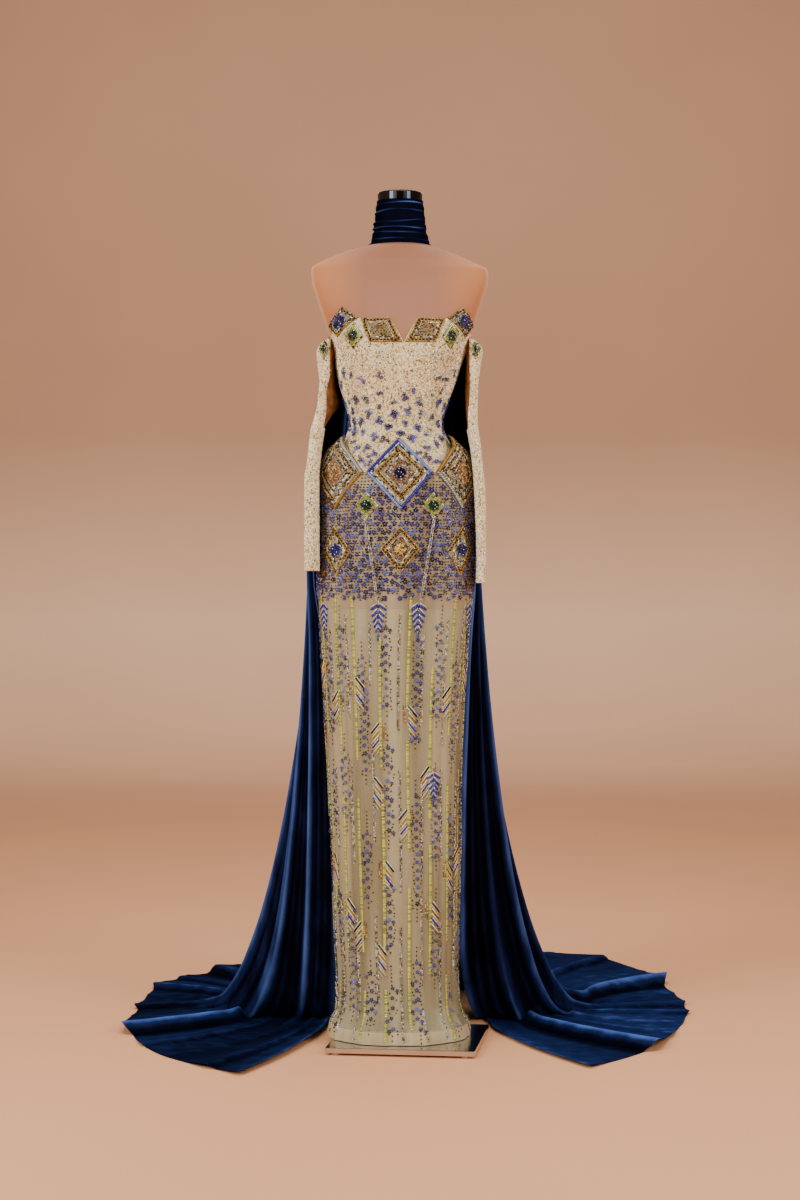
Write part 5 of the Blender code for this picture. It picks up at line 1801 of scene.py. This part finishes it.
def silver_line(turn, top, sprayed):
    """Double silver strands one below another, some with a spray."""
    while top > 0.08:
        bottom = max(HEM_Z + 0.004, top - random.uniform(0.12, 0.30))
        for across in (-0.0015, 0.0015):
            turns, heights = line_of(turn, top, bottom, 0.0036)
            tints = tinted(len(turns), "silver", "crystal", "black", "straw", shares=(0.42, 0.26, 0.22, 0.10))
            lay_line("silver_strands", turns, heights, tints, across)
        if top < 0.80 and sprayed:
            spray(turn, (top + bottom) / 2 + 0.03, 1)
        top = bottom - random.uniform(0.04, 0.16)


def blossom_line(turn, top):
    """Trails of blossoms one below another, with a few dots above and below each."""
    while top > 0.13:
        top = dotted(turn, top, random.integers(3, 7))
        bottom = max(0.05, top - random.uniform(0.09, 0.24))
        trail(turn, top, bottom)
        top = dotted(turn, bottom - 0.004, random.integers(2, 6)) - random.uniform(0.02, 0.13)


GREEN_TOPS = (0.946, 0.946, 0.86, 0.946, 0.80, 0.946)
BLOSSOM_TOPS = (0.925, 0.90, 0.925, 0.85)
APART = 360 / COLUMNS
for column in range(COLUMNS):
    middle = -180 + 360 * (column + 0.5) / COLUMNS
    green_line(middle + random.uniform(-1.5, 1.5), GREEN_TOPS[column % 6] + random.uniform(-0.012, 0.004))
    silver_line(middle + APART * random.uniform(0.55, 0.70), random.uniform(0.84, 0.93), column % 6 == 1)
    blossom_line(middle + APART * random.uniform(0.24, 0.36), BLOSSOM_TOPS[column % 4])

# %% Feathers and their stems
FEATHER_Z = 0.928
for turn, top, size in (
    (-11.0, FEATHER_Z, 1.0), (16.0, FEATHER_Z, 1.0), (33.0, 0.575, 0.9), (-66.0, FEATHER_Z, 0.95),
    (74.0, FEATHER_Z, 0.95), (128.0, FEATHER_Z, 1.0), (-128.0, FEATHER_Z, 1.0), (165.0, 0.60, 0.9),
    (-160.0, 0.48, 0.9),
):
    feather(turn, top, size)
for name, foot_turn in (("hip_green_l", -11.0), ("hip_green_r", 16.0)):
    lozenge = diamonds[name]
    foot = lozenge.corners[:, 1].min()
    heights = np.arange(foot, FEATHER_Z, -STEM_STEP)
    turns = lozenge.middle_turn + (foot_turn - lozenge.middle_turn) * (foot - heights) / (foot - FEATHER_Z)
    for across in (-0.0019, 0.0019):
        lay_line("silver_stems", turns, heights, tinted(len(turns), "silver", "crystal"), across, lift=0.0054)

for group in sorted({entry[0] for entry in bars}):
    *numbers, size, tint = zip(*(entry[1:] for entry in bars if entry[0] == group))
    turn, height, across, up, lean, size = (np.array(column, float) for column in (*numbers, size))
    height = np.maximum(height + up, HEM_Z + 0.006)
    here, around, out_of = gown_frame(shifted(turn, height, across), height, 0.0022, skirt_surface)
    lean = np.radians(lean)[:, None]
    along = np.cross(out_of, around) * np.cos(lean) + around * np.sin(lean)
    gather(group, here, along, out_of, varied([TINTS[name] for name in tint], 0.1), size)

set_group("green_strands", "bugle", 0.0023, 0.0062, lined=0.15, seed=9)
set_group("silver_strands", "seed", 0.0029, 0.0038, lined=0.4, seed=10)
set_group("brown_dots", "seed", 0.0040, 0.0044, lined=0.1, seed=11)
set_group("skirt_blossoms", "blossom", 0.0030, 0.0098, lined=0.1, seed=12)
set_group("amber_beads", "seed", 0.0032, 0.0036, lined=0.1, seed=22)
set_group("spray_bars", "bugle", 0.0042, 0.0270, lined=0.15, seed=13, uneven=0.05)
set_group("spray_thin", "bugle", 0.0034, 0.0262, lined=0.15, seed=18, uneven=0.05)
set_group("spray_edges", "bugle", 0.0013, 0.0272, lined=0.1, seed=14, uneven=0.03)
set_group("feather_bars", "bugle", 0.0044, 0.0165, lined=0.1, seed=15, uneven=0.04)
set_group("feather_edges", "bugle", 0.0015, 0.0175, lined=0.3, seed=16, uneven=0.04)
set_group("silver_stems", "seed", 0.0031, 0.0038, lined=0.5, seed=17)
print("bead triangles in all:", sum(bead_counts))

# %% [markdown]
# ## Studio
# The camera stands where the photo's did: level, 5 m in front of the figure and 0.94 m up, with a lens that
# takes in the whole train. Two tall soft boxes in front give the cap and the velvet their highlights. The
# round floor curves up into paper far out on every side, so that no edge shows and nothing stands in front.

# %% Floor, light and camera
CAMERA_AWAY = 5.0
CAMERA_Z = 0.938
LENS = 70.5
STUDIO_FLAT = 8.9
STUDIO_BEND = 2.6
STUDIO_HEIGHT = 5.6
PAINTED_LIGHT_RUN = 16.0
FLAT_RINGS = 8
PAPER_LAMPS = 6.4
PAPER_AWAY = 11.5


def studio_floor():
    """A round floor whose edge curves up all round into paper, far enough out to leave every side in view."""
    turn = np.linspace(0.0, math.tau, 97)[:-1]
    bend = np.linspace(0.05, 1.0, 14) * math.pi / 2
    flat = np.linspace(0.3, STUDIO_FLAT, FLAT_RINGS)
    out = np.concatenate([flat, STUDIO_FLAT + STUDIO_BEND * np.sin(bend)])
    up = np.concatenate([np.zeros(FLAT_RINGS), STUDIO_BEND * (1.0 - np.cos(bend))])
    along = np.concatenate([flat, STUDIO_FLAT + STUDIO_BEND * bend])
    out, up = np.append(out, out[-1]), np.append(up, STUDIO_HEIGHT)
    along = np.append(along, along[-1] + STUDIO_HEIGHT - STUDIO_BEND)
    points = stack(out[:, None] * np.cos(turn), out[:, None] * np.sin(turn), up[:, None])
    index = np.arange(out.size * turn.size).reshape(out.size, turn.size)
    faces = [*quads(index, True)[:, ::-1], index[0]]
    paper = Finish("studio_paper", Roughness=0.8, Specular_IOR_Level=0.15)
    # Painted light: the paper is darker and more orange near the middle of the floor, brightest where it
    # curves up, and darker again higher up the wall.
    shade = paper.ramp(
        paper.mark("along") * (1.0 / PAINTED_LIGHT_RUN),
        (0.25, tone(234, 170, 124)), (0.38, tone(236, 178, 140)),
        (0.687, tone(255, 216, 180)), (0.78, tone(204, 162, 132)),
    )
    soft = paper.ramp(paper.noise(0.7, 2.0), (0.3, tone(248, 248, 248)), (0.7, tone(255, 255, 255)))
    paper.set(Base_Color=paper.mix(1.0, shade, soft, "MULTIPLY"))
    marks = {"along": np.repeat(along, turn.size)}
    make_object("studio_floor", points.reshape(-1, 3), faces, [paper], marks)


def soft_box(name, place, aim, size, power, warmth=(1.0, 1.0, 1.0)):
    """A soft lamp of this width and height, in watts, turned from its place to its aim."""
    data = bpy.data.lights.new(name, "AREA")
    data.shape = "RECTANGLE"
    data.size, data.size_y = size
    data.energy = power
    data.color = warmth
    light = linked(name, data)
    light.location = place
    light.rotation_euler = (Vector(aim) - Vector(place)).to_track_quat("-Z", "Y").to_euler()


studio_floor()
soft_box("box_left", (-2.6, -3.6, 2.3), (0.0, -0.3, 0.9), (1.2, 2.2), 150)
soft_box("box_right", (2.6, -3.6, 2.3), (0.0, -0.3, 0.9), (1.2, 2.2), 110)
soft_box("box_top", (0.0, -0.8, 4.2), (0.0, 0.0, 0.0), (3.0, 3.0), 110, (1.0, 0.96, 0.92))
for number, turn in enumerate((0.5, 0.0, 1.0)):
    side, away = math.cos(turn * math.pi), math.sin(turn * math.pi)
    place = (PAPER_LAMPS * side, PAPER_LAMPS * away, 5.2)
    aim = (PAPER_AWAY * side, PAPER_AWAY * away, 1.2)
    soft_box(f"box_paper_{number}", place, aim, (4.0, 1.0), 170, (1.0, 0.96, 0.90))
soft_box("box_back", (0.0, 3.4, 3.2), (0.0, 0.3, 0.6), (3.0, 1.4), 45)
world = bpy.data.worlds.new("studio")
world.use_nodes = True
sky = world.node_tree.nodes["Background"].inputs
sky["Color"].default_value = (0.95, 0.84, 0.76, 1.0)
sky["Strength"].default_value = 0.30
bpy.context.scene.world = world

camera = linked("camera", bpy.data.cameras.new("camera"))
camera.data.lens = LENS
camera.data.sensor_width = 36.0
camera.data.sensor_fit = "AUTO"
camera.location = (AXIS[0], AXIS[1] - CAMERA_AWAY, CAMERA_Z)
camera.rotation_euler = (math.pi / 2, 0.0, 0.0)
bpy.context.scene.camera = camera
